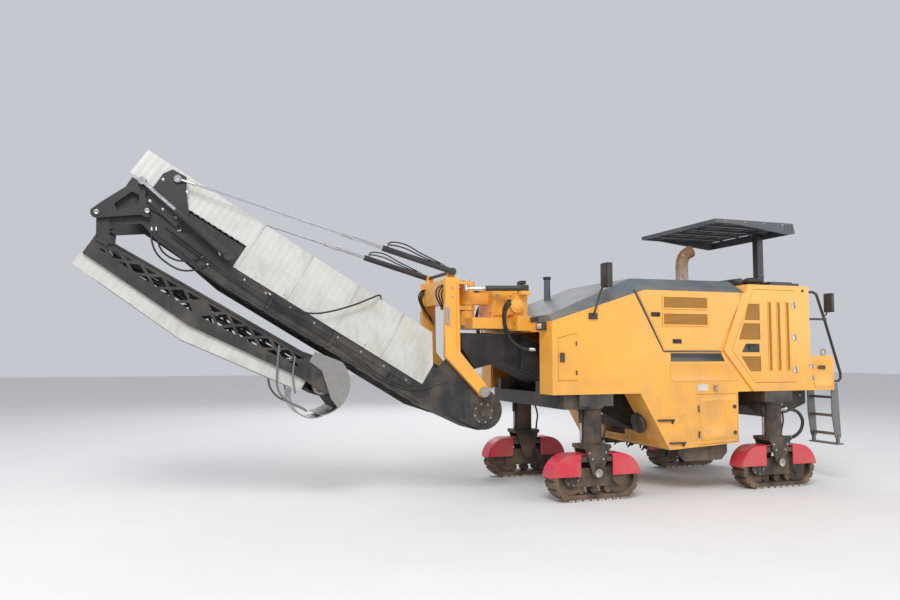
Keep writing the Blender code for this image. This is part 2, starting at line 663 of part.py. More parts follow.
def make_console():
    """Desk across the front of the well with an arm along the top of each rear block."""
    well = WELL_WIDTH / 2 - 0.01
    low = STEP_TOP + SEAT
    desk = [(WELL_FRONT - SEAT, low), (WELL_FRONT - SEAT, 3.02), (WELL_FRONT - 0.12, 3.04),
            (WELL_FRONT - 0.42, 2.86), (WELL_FRONT - 0.42, 2.78), (WELL_FRONT - 0.2, 2.6), (WELL_FRONT - 0.2, low)]
    pieces = [plate(desk, -well, well)]
    for s in (-1, 1):
        near, far = sorted((s * 0.6, s * 1.1))
        pieces.append(box((-2.03, near, REAR_BLOCK_TOP + SEAT), (-1.5, far, REAR_BLOCK_TOP + 0.05)))
        near, far = sorted((s * 0.6, s * 0.735))
        pieces.append(box((-2.03, near, REAR_BLOCK_TOP - 0.08), (WELL_FRONT - 0.1, far, REAR_BLOCK_TOP + 0.05)))
    return joined(pieces)


def make_handrail():
    """Left side; both ends meet the rear block and the low step box."""
    y = HALF - 0.05
    r = 0.02
    outer = [(REAR_BLOCK_BACK - SEAT, y, 2.82), (-2.22, y, 2.82), (-2.28, y, 2.79), (-2.42, y, 2.42),
             (-2.69, y, 1.62), (-2.69, y, 1.54), (-2.64, y, 1.50), (BODY_BACK - SEAT, y, 1.50)]
    bar = [(REAR_BLOCK_BACK - SEAT, y, 2.42), (-2.42, y, 2.42)]
    return joined([pipe(outer, r), pipe(bar, r * 0.8)])


def make_ladder():
    """Two tapered stringers behind the step box with three treads and a foot bar."""
    pieces = []
    top, foot = BODY_BOTTOM + 0.09, 0.56
    back = BODY_BACK - SEAT
    outline = [(back, top), (back, 1.0), (back - 0.05, foot + 0.1), (back - 0.16, foot + 0.1), (back - 0.12, top)]
    for y in (0.70, 1.16):
        pieces.append(plate(outline, y - 0.008, y + 0.008))
    for index in range(3):
        z = foot + 0.14 + 0.27 * index
        pieces.append(box((back - 0.13, 0.70, z), (back - 0.03, 1.16, z + 0.025)))
    pieces.append(box((back - 0.17, 0.66, foot), (back - 0.04, 1.20, foot + 0.02)))
    pieces += [box((back - 0.12, y - 0.02, foot + 0.01), (back - 0.08, y + 0.02, foot + 0.15)) for y in (0.70, 1.16)]
    return joined(pieces)


def make_mirror():
    """Front left mirror on its bent arm."""
    y = HALF + SEAT
    arm = [(1.53, y + 0.012, 2.40), (1.53, y + 0.05, 2.46), (1.44, y + 0.05, 2.72), (1.37, y + 0.05, 2.86)]
    foot = box((1.47, y, 2.36), (1.59, y + 0.024, 2.44))
    head = box((1.33, y + 0.035, 2.78), (1.41, y + 0.175, 3.10))
    return joined([foot, pipe(arm, 0.014), head])


# ================================================================ conveyor that feeds the boom
def make_primary_conveyor():
    start = HOUSING_FRONT + 0.02 + SEAT
    low = [(start, 0.80), (2.45, 1.80)]
    belly = [*low, (2.84, 1.70), (3.01, 1.96), (3.07, 2.19), (2.6, 2.19), (2.2, 2.17), (start, 1.26)]
    wide = plate([(start, 0.80), (2.2, 1.69), (2.2, 2.17), (start, 1.26)], -0.42, 0.42)
    return joined([wide, plate(belly, -0.31, 0.31)])


def make_front_bracket():
    front = BODY_FRONT + SEAT
    pieces = [box((front, -0.6, MOUTH_TOP + 0.02), (front + 0.2, 0.6, 2.42))]
    pieces.append(box((front + 0.1, -0.38, MOUTH_TOP + 0.05), (SLEW_X + 0.05, 0.38, 2.40)))
    pieces.append(box((front + 0.08, -0.26, 2.36), (2.56, 0.26, 2.80)))
    pieces.append(rod((SLEW_X, 0, 2.3), (SLEW_X, 0, 2.508), 0.11, 28))
    pieces.append(rod((SLEW_X, 0, 2.59), (SLEW_X, 0, 2.83), 0.11, 28))
    pieces.append(box((2.5, -0.1, 2.6), (SLEW_X, 0.1, 2.76)))
    for s in (-1, 1):
        low, high = sorted((s * 0.44, s * 0.48))
        pieces.append(box((front, low, 2.3), (front + 0.2, high, SLEW_CYLINDER_Z - 0.06)))
        shelf = SLEW_CYLINDER_Z - 0.04 - SEAT
        near, far = sorted((s * 0.44, s * 0.6))
        pieces.append(box((front, near, shelf - 0.05), (front + 0.14, far, shelf)))
        pieces.append(rod((SLEW_BASE[0], s * SLEW_BASE[1], shelf - 0.02),
                          (SLEW_BASE[0], s * SLEW_BASE[1], SLEW_CYLINDER_Z + 0.05), 0.022, 14))
    bracket = joined(pieces)
    return cut(bracket, [bore((SLEW_X, 0, 2.0), (SLEW_X, 0, 3.0), KINGPIN_RADIUS, 24)])


def make_slew_frame():
    inner = ARM_GAP / 2
    outer = inner + ARM_THICK
    px, pz = LUFF_PIVOT
    outline = [(3.35, ARM_TOP), (3.16, ARM_TOP), (3.14, ARM_BEND), (px - 0.07, pz + 0.04)]
    outline += arc((px, pz), 0.075, 200, 340, 8) + [(3.35, ARM_BEND - 0.06)]
    pieces = both_sides(plate(outline, inner, outer))
    pin = rod((px, inner + 0.02, pz), (px, BOOM_INNER_GAP / 2 + 0.004, pz), 0.045, 20)
    pieces += both_sides(pin)
    pieces.append(box((3.17, -outer + 0.01, 2.58), (3.33, outer - 0.01, SLEW_PLATE_TOP)))
    pieces.append(box((SLEW_X, -0.14, SLEW_PLATE_TOP - 0.055), (3.2, 0.14, SLEW_PLATE_TOP)))
    pieces.append(box((SLEW_X + 0.05, -0.33, SLEW_PLATE_TOP - 0.045), (3.2, 0.33, SLEW_PLATE_TOP - 0.002)))
    pieces.append(rod((SLEW_X, 0, SLEW_PLATE_TOP - 0.055), (SLEW_X, 0, SLEW_PLATE_TOP + 0.02), 0.12, 28))
    pieces.append(rod((SLEW_X, 0, 2.516), (SLEW_X, 0, 2.582), 0.12, 28))
    pieces.append(box((SLEW_X + 0.02, -0.1, 2.52), (3.2, 0.1, 2.575)))
    pieces.append(box((3.1, -0.1, 2.52), (3.2, 0.1, 2.65)))
    pieces.append(rod((SLEW_X, 0, 2.32), (SLEW_X, 0, SLEW_PLATE_TOP), KINGPIN_RADIUS, 24))
    bx, bz = LUFF_BASE
    ear = [(bx - 0.06, ARM_TOP - 0.05), (bx + 0.07, ARM_TOP - 0.05), *arc((bx, bz), 0.045, 0, 180, 8)]
    ears = both_sides(plate(ear, inner - 0.03, inner + 0.008))
    hole = bore((bx, -0.7, bz), (bx, 0.7, bz), 0.025, 16)
    return cut(joined(pieces + ears), [hole])


def cylinder_barrel(start, end, radius, eye_radius, eye_width, eye_axis):
    """A barrel from its eye at start to its gland at end, bored for the rod."""
    start, end = Vector(start), Vector(end)
    along = (end - start).normalized()
    axis = Vector(eye_axis)
    body = rod(start + along * eye_radius * 0.7, end, radius, 20)
    eye = rod(start - axis * eye_width / 2, start + axis * eye_width / 2, eye_radius, 20)
    return joined([body, eye])


# ================================================================ boom
def make_inner_frame():
    gap = BOOM_INNER_GAP / 2
    outer = gap + BOOM_PLATE
    bottom = BOOM_BOTTOM
    outline = arc((-0.16, -0.2), 0.26, 110, 250, 12)
    outline += [(0.15, -0.50), (0.6, bottom), (3.6, bottom), (4.2, bottom + 0.1), (4.75, -0.47), (5.02, -0.67)]
    outline += arc(FOLD_PIVOT, 0.07, 225, 390, 8)
    outline += [(5.12, -0.4), (5.12, -0.06), (0.70, -0.06), (0.66, 0.12), (0.25, 0.12)]
    pieces = both_sides(plate(outline, gap, outer))
    gusset = [(4.40, -0.30), (4.86, -0.22), (4.86, 0.16), (4.80, 0.27), (4.62, 0.28), (4.52, 0.12), (4.36, -0.08)]
    pieces += both_sides(plate(gusset, outer + 0.02, outer + 0.045))
    pieces += both_sides(box((4.42, outer - 0.01, -0.27), (4.84, outer + 0.03, -0.09)))
    for u, v in ((0.55, -0.3), (1.9, -0.3), (3.1, -0.3), (4.25, -0.3)):
        pieces.append(rod((u, -gap - 0.02, v), (u, gap + 0.02, v), 0.04, 16))
    frame = joined(pieces)
    holes = [bore((u, -0.8, v), (u, 0.8, v), r)
             for (u, v), r in (((0.0, 0.0), 0.045), (CRANK_PIVOT, 0.035), (FOLD_BASE, 0.035), (FOLD_PIVOT, 0.03))]
    return turned(cut(frame, holes), boom_matrix())


def make_cover():
    """Arched tunnel over the belt, open beneath, that goes on as two side guards to the head."""
    foot = BOOM_INNER_GAP / 2 + BOOM_PLATE + SEAT
    t = COVER_SHEET
    right = [(foot + t, -0.34), (foot + t, -0.05), (0.36 + t, COVER_TOP + t), (0.36, COVER_TOP), (foot, -0.05), (foot, -0.34)]
    half = [(foot, -0.34), (foot + t, -0.34), (foot + t, -0.05), (0.36 + t * 0.7, COVER_TOP + t)]
    inner = [(foot, -0.05), (0.36, COVER_TOP)]
    outline = half + [(-y, z) for y, z in half[::-1]] + [(-y, z) for y, z in inner] + inner[::-1]
    assert len(right) == 6
    tunnel = plate(outline, COVER_START, GUARD_END, "YZ")
    cutters = [box((COVER_END, -0.3, -0.3), (GUARD_END + 0.1, 0.3, 0.6)),
               box((COVER_END, -0.6, -0.5), (GUARD_END + 0.1, 0.6, -0.03)),
               box((COVER_END, -0.365, COVER_TOP - 0.02), (GUARD_END + 0.1, 0.365, 0.6))]
    slant = [(0.5, -0.05), (COVER_START, -0.05), (COVER_START + 0.25, COVER_TOP + 0.1), (0.5, COVER_TOP + 0.1)]
    cutters.append(plate(slant, -0.7, 0.7))
    return turned(cut(tunnel, cutters), boom_matrix())


def belt_loop(points_out, points_in):
    half = BELT_WIDTH / 2
    return plate([points_out, points_in], -half, half)


def make_inner_belt():
    r = TAIL_RADIUS
    tail, head, head_r = (-0.16, -0.24), (4.93, -0.20), 0.14
    lower = -0.545

    def ring(inset):
        pts = arc(tail, r - inset, 90, 250, 12)
        pts += [(0.5, lower + inset), (3.6, lower + inset), (4.6, -0.46 + inset), (4.8, -0.40 + inset)]
        pts += arc(head, head_r - inset, 290, 450, 10)
        pts += [(4.6, -0.02 - inset), (0.4, -0.02 - inset)]
        return pts

    loop = belt_loop(ring(0), ring(BELT_THICK))
    pulleys = [rod((u, -0.3, v), (u, 0.3, v), radius, 24)
               for u, v, radius in ((*tail, r - BELT_THICK / 2), (*head, head_r - BELT_THICK / 2))]
    shafts = [rod((u, -BOOM_INNER_GAP / 2 + SEAT, v), (u, BOOM_INNER_GAP / 2 - SEAT, v), 0.04, 16)
              for u, v in (tail, head)]
    return turned(joined([loop, *pulleys, *shafts]), boom_matrix())


OUTER_TOP = [(5.06, -0.885), (OUTER_KINK, -0.855), (2.2, -0.825)]
OUTER_LOW = [(5.06, -0.985), (OUTER_KINK, -1.07), (2.2, -0.98)]


def point_on(line, share):
    a, b = Vector(line[0]), Vector(line[1])
    return tuple(a + (b - a) * share)


def lattice_windows(top, low, count):
    """The gaps between crossed diagonals, over a stretch of the boom's side."""
    def at(line, i):
        return point_on(line, i / count)

    windows, crossings = [], []
    for i in range(count):
        corners = at(top, i), at(top, i + 1), at(low, i + 1), at(low, i)
        middle = tuple(sum(c[k] for c in corners) / 4 for k in (0, 1))
        crossings.append(middle)
        windows.append([corners[0], corners[1], middle])
        windows.append([corners[3], middle, corners[2]])
    for i in range(1, count):
        windows.append([at(top, i), crossings[i], at(low, i), crossings[i - 1]])
    return [grown(window, -BRACE / 2) for window in windows]


def make_outer_frame():
    gap = BOOM_INNER_GAP / 2
    outer = gap + BOOM_PLATE
    outline = [(5.08, -0.835), (OUTER_KINK, -0.805), (2.2, -0.775), (1.95, -0.78), (1.62, -0.86), (1.60, -1.04)]
    outline += [(1.9, -1.08), (2.2, -1.07), (OUTER_KINK, -1.21), (5.08, -1.11)]
    windows = lattice_windows(OUTER_TOP[:2], OUTER_LOW[:2], 5)
    windows += lattice_windows(OUTER_TOP[1:], OUTER_LOW[1:], 5)
    pieces = [plate([outline, *windows], gap, outer)]
    lug = [(4.86, -0.86), (5.07, -0.86), *arc(FOLD_PIVOT, 0.075, -30, 150, 8), (4.98, -0.75)]
    pieces.append(plate(lug, outer + 0.005, outer + 0.03))
    pieces.append(plate([(4.9, -0.91), (5.05, -0.91), (5.05, -0.845), (4.9, -0.845)], outer - 0.02, outer + 0.025))
    pieces.append(rod((FOLD_PIVOT[0], gap - 0.02, FOLD_PIVOT[1]), (FOLD_PIVOT[0], outer + 0.02, FOLD_PIVOT[1]), 0.03, 20))
    left = joined(pieces)
    right = mirrored(left)
    ties = [rod((u, -gap - 0.01, v), (u, gap + 0.01, v), 0.02, 14) for u, v in ((4.66, -0.995), (3.3, -1.025), (2.35, -0.958))]
    return turned(joined([left, right, *ties]), boom_matrix())


OUTER_TRAY = [(4.74, -1.13), (OUTER_KINK, -1.20), (2.10, -1.09)]


def make_outer_guard():
    """Two side sheets that keep the load on the belt, joined by the tray under its carrying run."""
    outer = BOOM_INNER_GAP / 2 - SEAT
    outline = [(5.11, -1.0), (5.11, -1.27), (OUTER_KINK, -1.40), (2.10, -1.21), (2.10, -0.97), (OUTER_KINK, -1.09)]
    pieces = both_sides(plate(outline, outer - COVER_SHEET, outer))
    up = [(u, v + 0.005) for u, v in OUTER_TRAY]
    down = [(u, v - 0.005) for u, v in OUTER_TRAY[::-1]]
    pieces.append(plate(up + down, -outer + 0.004, outer - 0.004))
    return turned(joined(pieces), boom_matrix())


def make_outer_belt():
    head, tail, r = (OUTER_TIP + 0.15, -1.02), (4.93, -1.06), 0.13

    def ring(inset):
        pts = arc(head, r - inset, 98, 262, 10)
        pts += [(OUTER_KINK, -1.245 + inset)]
        pts += arc(tail, r - inset, 270, 450, 10)
        pts += [(OUTER_KINK, -0.945 - inset)]
        return pts

    loop = belt_loop(ring(0), ring(BELT_THICK * 0.8))
    pulleys = [rod((u, -0.3, v), (u, 0.3, v), r - BELT_THICK * 0.4, 24) for u, v in (head, tail)]
    reach = BOOM_INNER_GAP / 2 - COVER_SHEET - 2 * SEAT
    shafts = [rod((u, -reach, v), (u, reach, v), 0.035, 16) for u, v in (head, tail)]
    return turned(joined([loop, *pulleys, *shafts]), boom_matrix())


def make_discharge_head():
    """Curved steel hood round the head pulley with the deflector that hangs under it."""
    side = BOOM_INNER_GAP / 2 + BOOM_PLATE + SEAT
    center, r = (1.95, -1.02), 0.40
    outline = arc(center, r, 105, 235, 14) + arc(center, r - 0.015, 235, 105, 14)
    pieces = [plate(outline, -side - 0.012, side + 0.012)]
    cheek = [(1.86, -0.64), *arc(center, r - 0.004, 110, 200, 8), (1.72, -1.10), (2.0, -0.86), (2.2, -0.84), (2.2, -0.70)]
    pieces += both_sides(plate(cheek, side, side + 0.010))
    scoop = arc((1.9, -1.163), 0.30, 182, 345, 14) + arc((1.9, -1.163), 0.285, 345, 182, 14)
    pieces.append(plate(scoop, -0.25, 0.25))
    return turned(joined(pieces), boom_matrix())


def make_crank():
    """Two rounded triangular plates on one cross shaft."""
    near = BOOM_INNER_GAP / 2 + BOOM_PLATE + 0.06
    outline = arc(CRANK_PIVOT, 0.075, 215, 290, 5) + arc(CRANK_LEFT, 0.065, 240, 360, 6)
    outline += [(5.22, -0.5)] + arc(CRANK_TOP, 0.055, 0, 130, 6) + [(4.86, -0.2)]
    window = [(4.88, -0.30), (4.93, -0.21), (5.02, -0.22), (5.10, -0.45), (5.03, -0.50)]
    plates = both_sides(cut(plate(outline, near, near + 0.025), [plate(window, near - 0.1, near + 0.1)]))
    shaft = rod((CRANK_PIVOT[0], -near - 0.035, CRANK_PIVOT[1]), (CRANK_PIVOT[0], near + 0.035, CRANK_PIVOT[1]), 0.035, 20)
    ends = []
    for u, v in (CRANK_LEFT, CRANK_TOP):
        ends += both_sides(rod((u, near + 0.005, v), (u, near + 0.035, v), 0.03, 16))
    return turned(joined([*plates, shaft, *ends]), boom_matrix())


FOLD_Y = BOOM_INNER_GAP / 2 + BOOM_PLATE + 0.06 + 0.025 + 0.045 + 0.006
FOLD_SHARE = 0.62
STAY_Y = BOOM_INNER_GAP / 2 + BOOM_PLATE + 0.045 + 0.006 + 0.016
LUFF_REACH = 1.0
LUFF_TAIL = 0.45       # rod's inner end, clear of the bore's floor when the boom is at its highest
LUFF_CLEVIS = 1.39     # rod's fork, clear of the gland there


def toward(a, b, share):
    return tuple(Vector(a) + (Vector(b) - Vector(a)) * share)


def make_fold_barrels():
    a, b = on_boom(*FOLD_BASE, FOLD_Y), on_boom(*CRANK_TOP, FOLD_Y)
    gland = toward(a, b, FOLD_SHARE)
    barrel = cylinder_barrel(a, gland, 0.045, 0.06, 0.06, (0, 1, 0))
    left = cut(barrel, [bore(toward(a, b, 0.25), toward(a, b, FOLD_SHARE + 0.1), 0.024, 16)])
    shaft = rod(on_boom(*FOLD_BASE, -FOLD_Y), on_boom(*FOLD_BASE, FOLD_Y), 0.035, 20)
    return joined([left, mirrored(left), shaft])


def make_fold_rod():
    a, b = on_boom(*FOLD_BASE, FOLD_Y), on_boom(*CRANK_TOP, FOLD_Y)
    start = toward(a, b, FOLD_SHARE - 0.1)
    shaft = rod(start, b, 0.024, 16)
    eye = rod((b[0], FOLD_Y - 0.028, b[2]), (b[0], FOLD_Y + 0.028, b[2]), 0.045, 18)
    return joined([shaft, eye])


def luff_ends():
    base = (LUFF_BASE[0], STAY_Y, LUFF_BASE[1])
    return base, on_boom(*STAY_PIN, STAY_Y)


def make_luff_barrels():
    base, pin = luff_ends()
    along = (Vector(pin) - Vector(base)).normalized()
    gland = Vector(base) + along * LUFF_REACH
    barrel = cylinder_barrel(base, gland, 0.04, 0.05, 0.03, (0, 1, 0))
    left = cut(barrel, [bore(Vector(base) + along * 0.065, gland + along * 0.1, 0.022, 16)])
    shaft = rod((base[0], -STAY_Y, base[2]), (base[0], STAY_Y, base[2]), 0.025, 16)
    return joined([left, mirrored(left), shaft])


def make_luff_rod():
    """Piston rod, its fork and the steel rope stay up to the boom's gusset."""
    base, pin = luff_ends()
    along = (Vector(pin) - Vector(base)).normalized()
    at = [tuple(Vector(base) + along * d) for d in (LUFF_TAIL, LUFF_CLEVIS, LUFF_CLEVIS + 0.2)]
    length = (Vector(pin) - Vector(base)).length
    last = tuple(Vector(base) + along * (length - 0.2))
    pieces = [rod(at[0], tuple(Vector(at[1]) + along * 0.03), 0.022, 16), rod(at[1], at[2], 0.03, 12, 0.02)]
    pieces.append(rod(tuple(Vector(at[2]) - along * 0.01), last, 0.012, 10))
    pieces.append(rod(tuple(Vector(last) - along * 0.01), pin, 0.014, 12))
    pieces.append(rod((pin[0], STAY_Y - 0.015, pin[2]), (pin[0], STAY_Y + 0.015, pin[2]), 0.045, 18))
    return joined(pieces)


SLEW_SHARE = 0.66


def slew_ends():
    return ((SLEW_BASE[0], SLEW_BASE[1], SLEW_CYLINDER_Z), (SLEW_EYE[0], SLEW_EYE[1], SLEW_CYLINDER_Z))


def make_slew_barrel():
    a, b = slew_ends()
    barrel = cylinder_barrel(a, toward(a, b, SLEW_SHARE), 0.038, 0.05, 0.08, (0, 0, 1))
    hole = bore(toward(a, b, 0.16), toward(a, b, SLEW_SHARE + 0.1), 0.02, 16)
    return cut(barrel, [hole, bore((a[0], a[1], a[2] - 0.1), (a[0], a[1], a[2] + 0.1), 0.022, 14)])


def make_slew_rod():
    a, b = slew_ends()
    shaft = rod(toward(a, b, 0.45), b, 0.02, 16)
    top = SLEW_PLATE_TOP - 0.045 - 0.0008
    eye = rod((b[0], b[1], SLEW_CYLINDER_Z - 0.03), (b[0], b[1], top), 0.045, 18)
    return joined([shaft, eye])


# ================================================================ assembly
def front_end():
    """How far forward the folded boom reaches."""
    return max(on_boom(5.11, -1.27)[0], on_boom(5.11, -1.0)[0])


def back_end():
    return BODY_BACK - 0.2


def build_tracks(paint):
    for end, x in (("front", FRONT), ("rear", BACK)):
        for side, y in (("left", TRACK_Y), ("right", -TRACK_Y)):
            place = f"{end}_{side}"
            axis = (x, y, 0)
            leg = make_leg(x, TRACK_Y)
            leg = leg if y > 0 else remade(leg)
            finish(leg, f"leg_{place}", paint["dark_steel"], axis)
            finish(make_track(x, y), f"track_{place}", paint["track_steel"], axis)
            finish(make_fender(x, y), f"fender_{place}", paint["red"], axis)


def remade(piece):
    """The mirror image in place of the piece."""
    other = mirrored(piece)
    bpy.data.objects.remove(piece, do_unlink=True)
    return other


def build_root(paint):
    finish(make_chassis(), "chassis_frame", paint["black"])
    finish(make_body_shell(), "body_shell", paint["yellow"])
    finish(make_hood(), "hood", paint["slate"])
    finish(box((SPLIT_X + 0.1, -0.62, RAIL_TOP + SEAT), (0.62, 0.62, 2.5)), "engine_block", paint["dark_steel"])
    finish(make_drum_housing(), "drum_housing", paint["yellow"])
    finish(make_primary_conveyor(), "primary_conveyor", paint["rubber"])
    finish(make_front_bracket(), "front_bracket", paint["yellow"])
    finish(make_canopy(), "canopy", paint["slate_dark"])
    finish(make_canopy_post(), "canopy_post", paint["black"])
    finish(make_console(), "operator_console", paint["black"])
    finish(make_exhaust(), "exhaust_pipe", paint["rust"])
    finish(make_precleaner(), "air_precleaner", paint["plastic"])
    finish(make_handrail(), "handrail_left", paint["black"])
    finish(remade(make_handrail()), "handrail_right", paint["black"])
    finish(make_ladder(), "ladder", paint["dark_steel"])
    finish(make_mirror(), "mirror_left", paint["plastic"])
    finish(remade(make_mirror()), "mirror_right", paint["plastic"])


def build_doors(paint):
    hinge = HALF
    finish(door_panel(ENGINE_DOOR), "engine_door_left", paint["yellow"], (0, hinge, ENGINE_DOOR[0][1]))
    finish(remade(door_panel(ENGINE_DOOR)), "engine_door_right", paint["yellow"], (0, -hinge, ENGINE_DOOR[0][1]))
    finish(door_panel(REAR_DOOR), "rear_door_left", paint["yellow"], (REAR_DOOR[1][0], hinge, 0))
    finish(remade(door_panel(REAR_DOOR)), "rear_door_right", paint["yellow"], (REAR_DOOR[1][0], -hinge, 0))
    finish(door_panel(LOCKER_DOOR), "locker_door", paint["yellow"], (LOCKER_DOOR[3][0], hinge, 0))
    finish(door_panel(DRUM_DOOR), "drum_door", paint["yellow"], (DRUM_DOOR[0][0], hinge, 0))


def build_drum(paint):
    finish(make_drum(), "milling_drum", paint["dark_steel"], (DRUM_X, 0, DRUM_Z))
    for side, y in zip(("left", "right"), SIDE_PLATE_Y):
        finish(make_side_plate(y), f"side_plate_{side}", paint["dark_steel"], (DRUM_X, y, SIDE_PLATE_TOP))
    finish(make_scraper(), "scraper_blade", paint["dark_steel"], (HOUSING_BACK + 0.03, 0, SCRAPER_HINGE_Z))


def build_boom(paint):
    pivot = (LUFF_PIVOT[0], 0, LUFF_PIVOT[1])
    finish(make_slew_frame(), "slew_frame", paint["yellow"], (SLEW_X, 0, 0))
    finish(make_inner_frame(), "boom_inner_frame", paint["black"], pivot)
    finish(make_cover(), "boom_cover", paint["white"], pivot)
    finish(make_inner_belt(), "boom_inner_belt", paint["rubber"], pivot)
    fold = on_boom(*FOLD_PIVOT)
    finish(make_outer_frame(), "boom_outer_frame", paint["black"], fold)
    finish(make_outer_guard(), "boom_outer_guard", paint["white"], fold)
    finish(make_outer_belt(), "boom_outer_belt", paint["rubber"], fold)
    finish(make_discharge_head(), "discharge_head", paint["chrome"], fold)
    finish(make_crank(), "fold_crank", paint["black"], on_boom(*CRANK_PIVOT))
    finish(make_fold_barrels(), "fold_cylinder_barrels", paint["black"], on_boom(*FOLD_BASE))
    finish(make_luff_barrels(), "luff_cylinder_barrels", paint["black"], luff_ends()[0][:1] + (0,) + luff_ends()[0][2:])
    for side, change in (("left", lambda piece: piece), ("right", remade)):
        finish(change(make_fold_rod()), f"fold_rod_{side}", paint["chrome"], on_boom(*CRANK_TOP))
        finish(change(make_luff_rod()), f"luff_rod_{side}", paint["chrome"], on_boom(*STAY_PIN))
        finish(change(make_slew_barrel()), f"slew_barrel_{side}", paint["black"], (SLEW_BASE[0], 0, SLEW_CYLINDER_Z))
        finish(change(make_slew_rod()), f"slew_rod_{side}", paint["chrome"], (SLEW_EYE[0], 0, SLEW_CYLINDER_Z))


def main():
    paint = {
        "yellow": make_material("body_yellow", (0.98, 0.46, 0.055), 0.35),
        "slate": make_material("hood_slate", (0.13, 0.16, 0.19), 0.45),
        "slate_dark": make_material("canopy_slate", (0.035, 0.05, 0.07), 0.4),
        "black": make_material("frame_black", (0.015, 0.016, 0.018), 0.45),
        "dark_steel": make_material("dark_steel", (0.05, 0.05, 0.055), 0.5, 0.3),
        "track_steel": make_material("track_steel", (0.11, 0.075, 0.06), 0.6, 0.4),
        "red": make_material("fender_red", (0.85, 0.03, 0.06), 0.4),
        "white": make_material("cover_white", (0.72, 0.71, 0.66), 0.5),
        "rubber": make_material("belt_rubber", (0.02, 0.02, 0.021), 0.8),
        "rust": make_material("exhaust_rust", (0.28, 0.18, 0.11), 0.6, 0.6),
        "chrome": make_material("rod_chrome", (0.6, 0.6, 0.62), 0.2, 1.0),
        "plastic": make_material("black_plastic", (0.02, 0.021, 0.023), 0.5),
    }
    build_tracks(paint)
    build_root(paint)
    build_doors(paint)
    build_drum(paint)
    build_boom(paint)


clear_scene()
PARTS = make_collection("cold_planer")
MACHINE = bpy.data.objects.new("machine", None)
PARTS.objects.link(MACHINE)
MACHINE.location.x = -(front_end() + back_end()) / 2
main()
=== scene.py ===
"""Cold planer: looks, small fittings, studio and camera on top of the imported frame."""

import math

import bmesh
import bpy
from bpy.props import FloatProperty, FloatVectorProperty, IntProperty, PointerProperty
from mathutils import Matrix, Vector


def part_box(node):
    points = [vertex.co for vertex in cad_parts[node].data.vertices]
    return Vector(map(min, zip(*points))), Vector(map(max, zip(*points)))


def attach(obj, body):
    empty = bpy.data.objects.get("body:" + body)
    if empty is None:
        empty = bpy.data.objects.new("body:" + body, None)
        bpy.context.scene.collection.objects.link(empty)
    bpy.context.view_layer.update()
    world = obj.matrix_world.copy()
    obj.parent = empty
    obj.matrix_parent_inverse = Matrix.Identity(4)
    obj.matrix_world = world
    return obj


bl_info = {
    "name": "Cold Planer Finish",
    "version": (1, 0, 0),
    "blender": (4, 5, 0),
    "location": "View3D > Sidebar > Planer",
    "description": "Paint, wear, hoses, grilles and fittings for a tracked cold planer",
    "category": "Object",
}

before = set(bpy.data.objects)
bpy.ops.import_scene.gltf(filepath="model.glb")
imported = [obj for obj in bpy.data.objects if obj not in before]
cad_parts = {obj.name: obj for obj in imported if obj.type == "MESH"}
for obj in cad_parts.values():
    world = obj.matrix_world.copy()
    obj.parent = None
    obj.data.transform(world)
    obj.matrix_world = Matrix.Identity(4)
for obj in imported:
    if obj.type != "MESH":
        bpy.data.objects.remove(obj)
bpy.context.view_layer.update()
TRACK_LOW, TRACK_HIGH = (Vector(corner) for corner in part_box("track_front_left"))
AXLE = 1.485
SHIFT = (TRACK_LOW.x + TRACK_HIGH.x) / 2 - AXLE
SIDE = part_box("body_shell")[1][1]
FOOT = (2.80, 1.40)
PITCH = math.radians(31)


# ---------------------------------------------------------------- places
def at(x, y, z):
    """A point given from midway between the axles, in the frame of the row."""
    return Vector((x + SHIFT, y, z))


def boom(u, v, y=0.0):
    """A point u along the conveyor boom and v up from it."""
    c, s = math.cos(PITCH), math.sin(PITCH)
    return at(FOOT[0] + u * c - v * s, y, FOOT[1] + u * s + v * c)


# ---------------------------------------------------------------- shader wiring
class Wire:
    """A shader socket that can be added, scaled and mixed like a number."""

    def __init__(self, paint, socket):
        self.paint, self.socket = paint, socket

    def _math(self, operation, other, flip=False):
        node = self.paint.tree.nodes.new("ShaderNodeMath")
        node.operation = operation
        pair = (other, self) if flip else (self, other)
        for slot, value in zip(node.inputs, pair):
            self.paint.feed(slot, value)
        return Wire(self.paint, node.outputs[0])

    def __add__(self, other):
        return self._math("ADD", other)

    def __sub__(self, other):
        return self._math("SUBTRACT", other)

    def __rsub__(self, other):
        return self._math("SUBTRACT", other, True)

    def __mul__(self, other):
        return self._math("MULTIPLY", other)

    __radd__, __rmul__ = __add__, __mul__

    def __lt__(self, other):
        return self._math("LESS_THAN", other)

    def __gt__(self, other):
        return self._math("GREATER_THAN", other)

    def most(self, other):
        return self._math("MAXIMUM", other)

    def wave(self, pitch):
        return (self * (2 * math.pi / pitch))._math("SINE", 0.0)

    def span(self, low, high, to_low=0.0, to_high=1.0):
        """Maps low..high to to_low..to_high and holds it there."""
        node = self.paint.tree.nodes.new("ShaderNodeMapRange")
        for slot, value in zip(node.inputs[:5], (self, low, high, to_low, to_high)):
            self.paint.feed(slot, value)
        return Wire(self.paint, node.outputs[0])


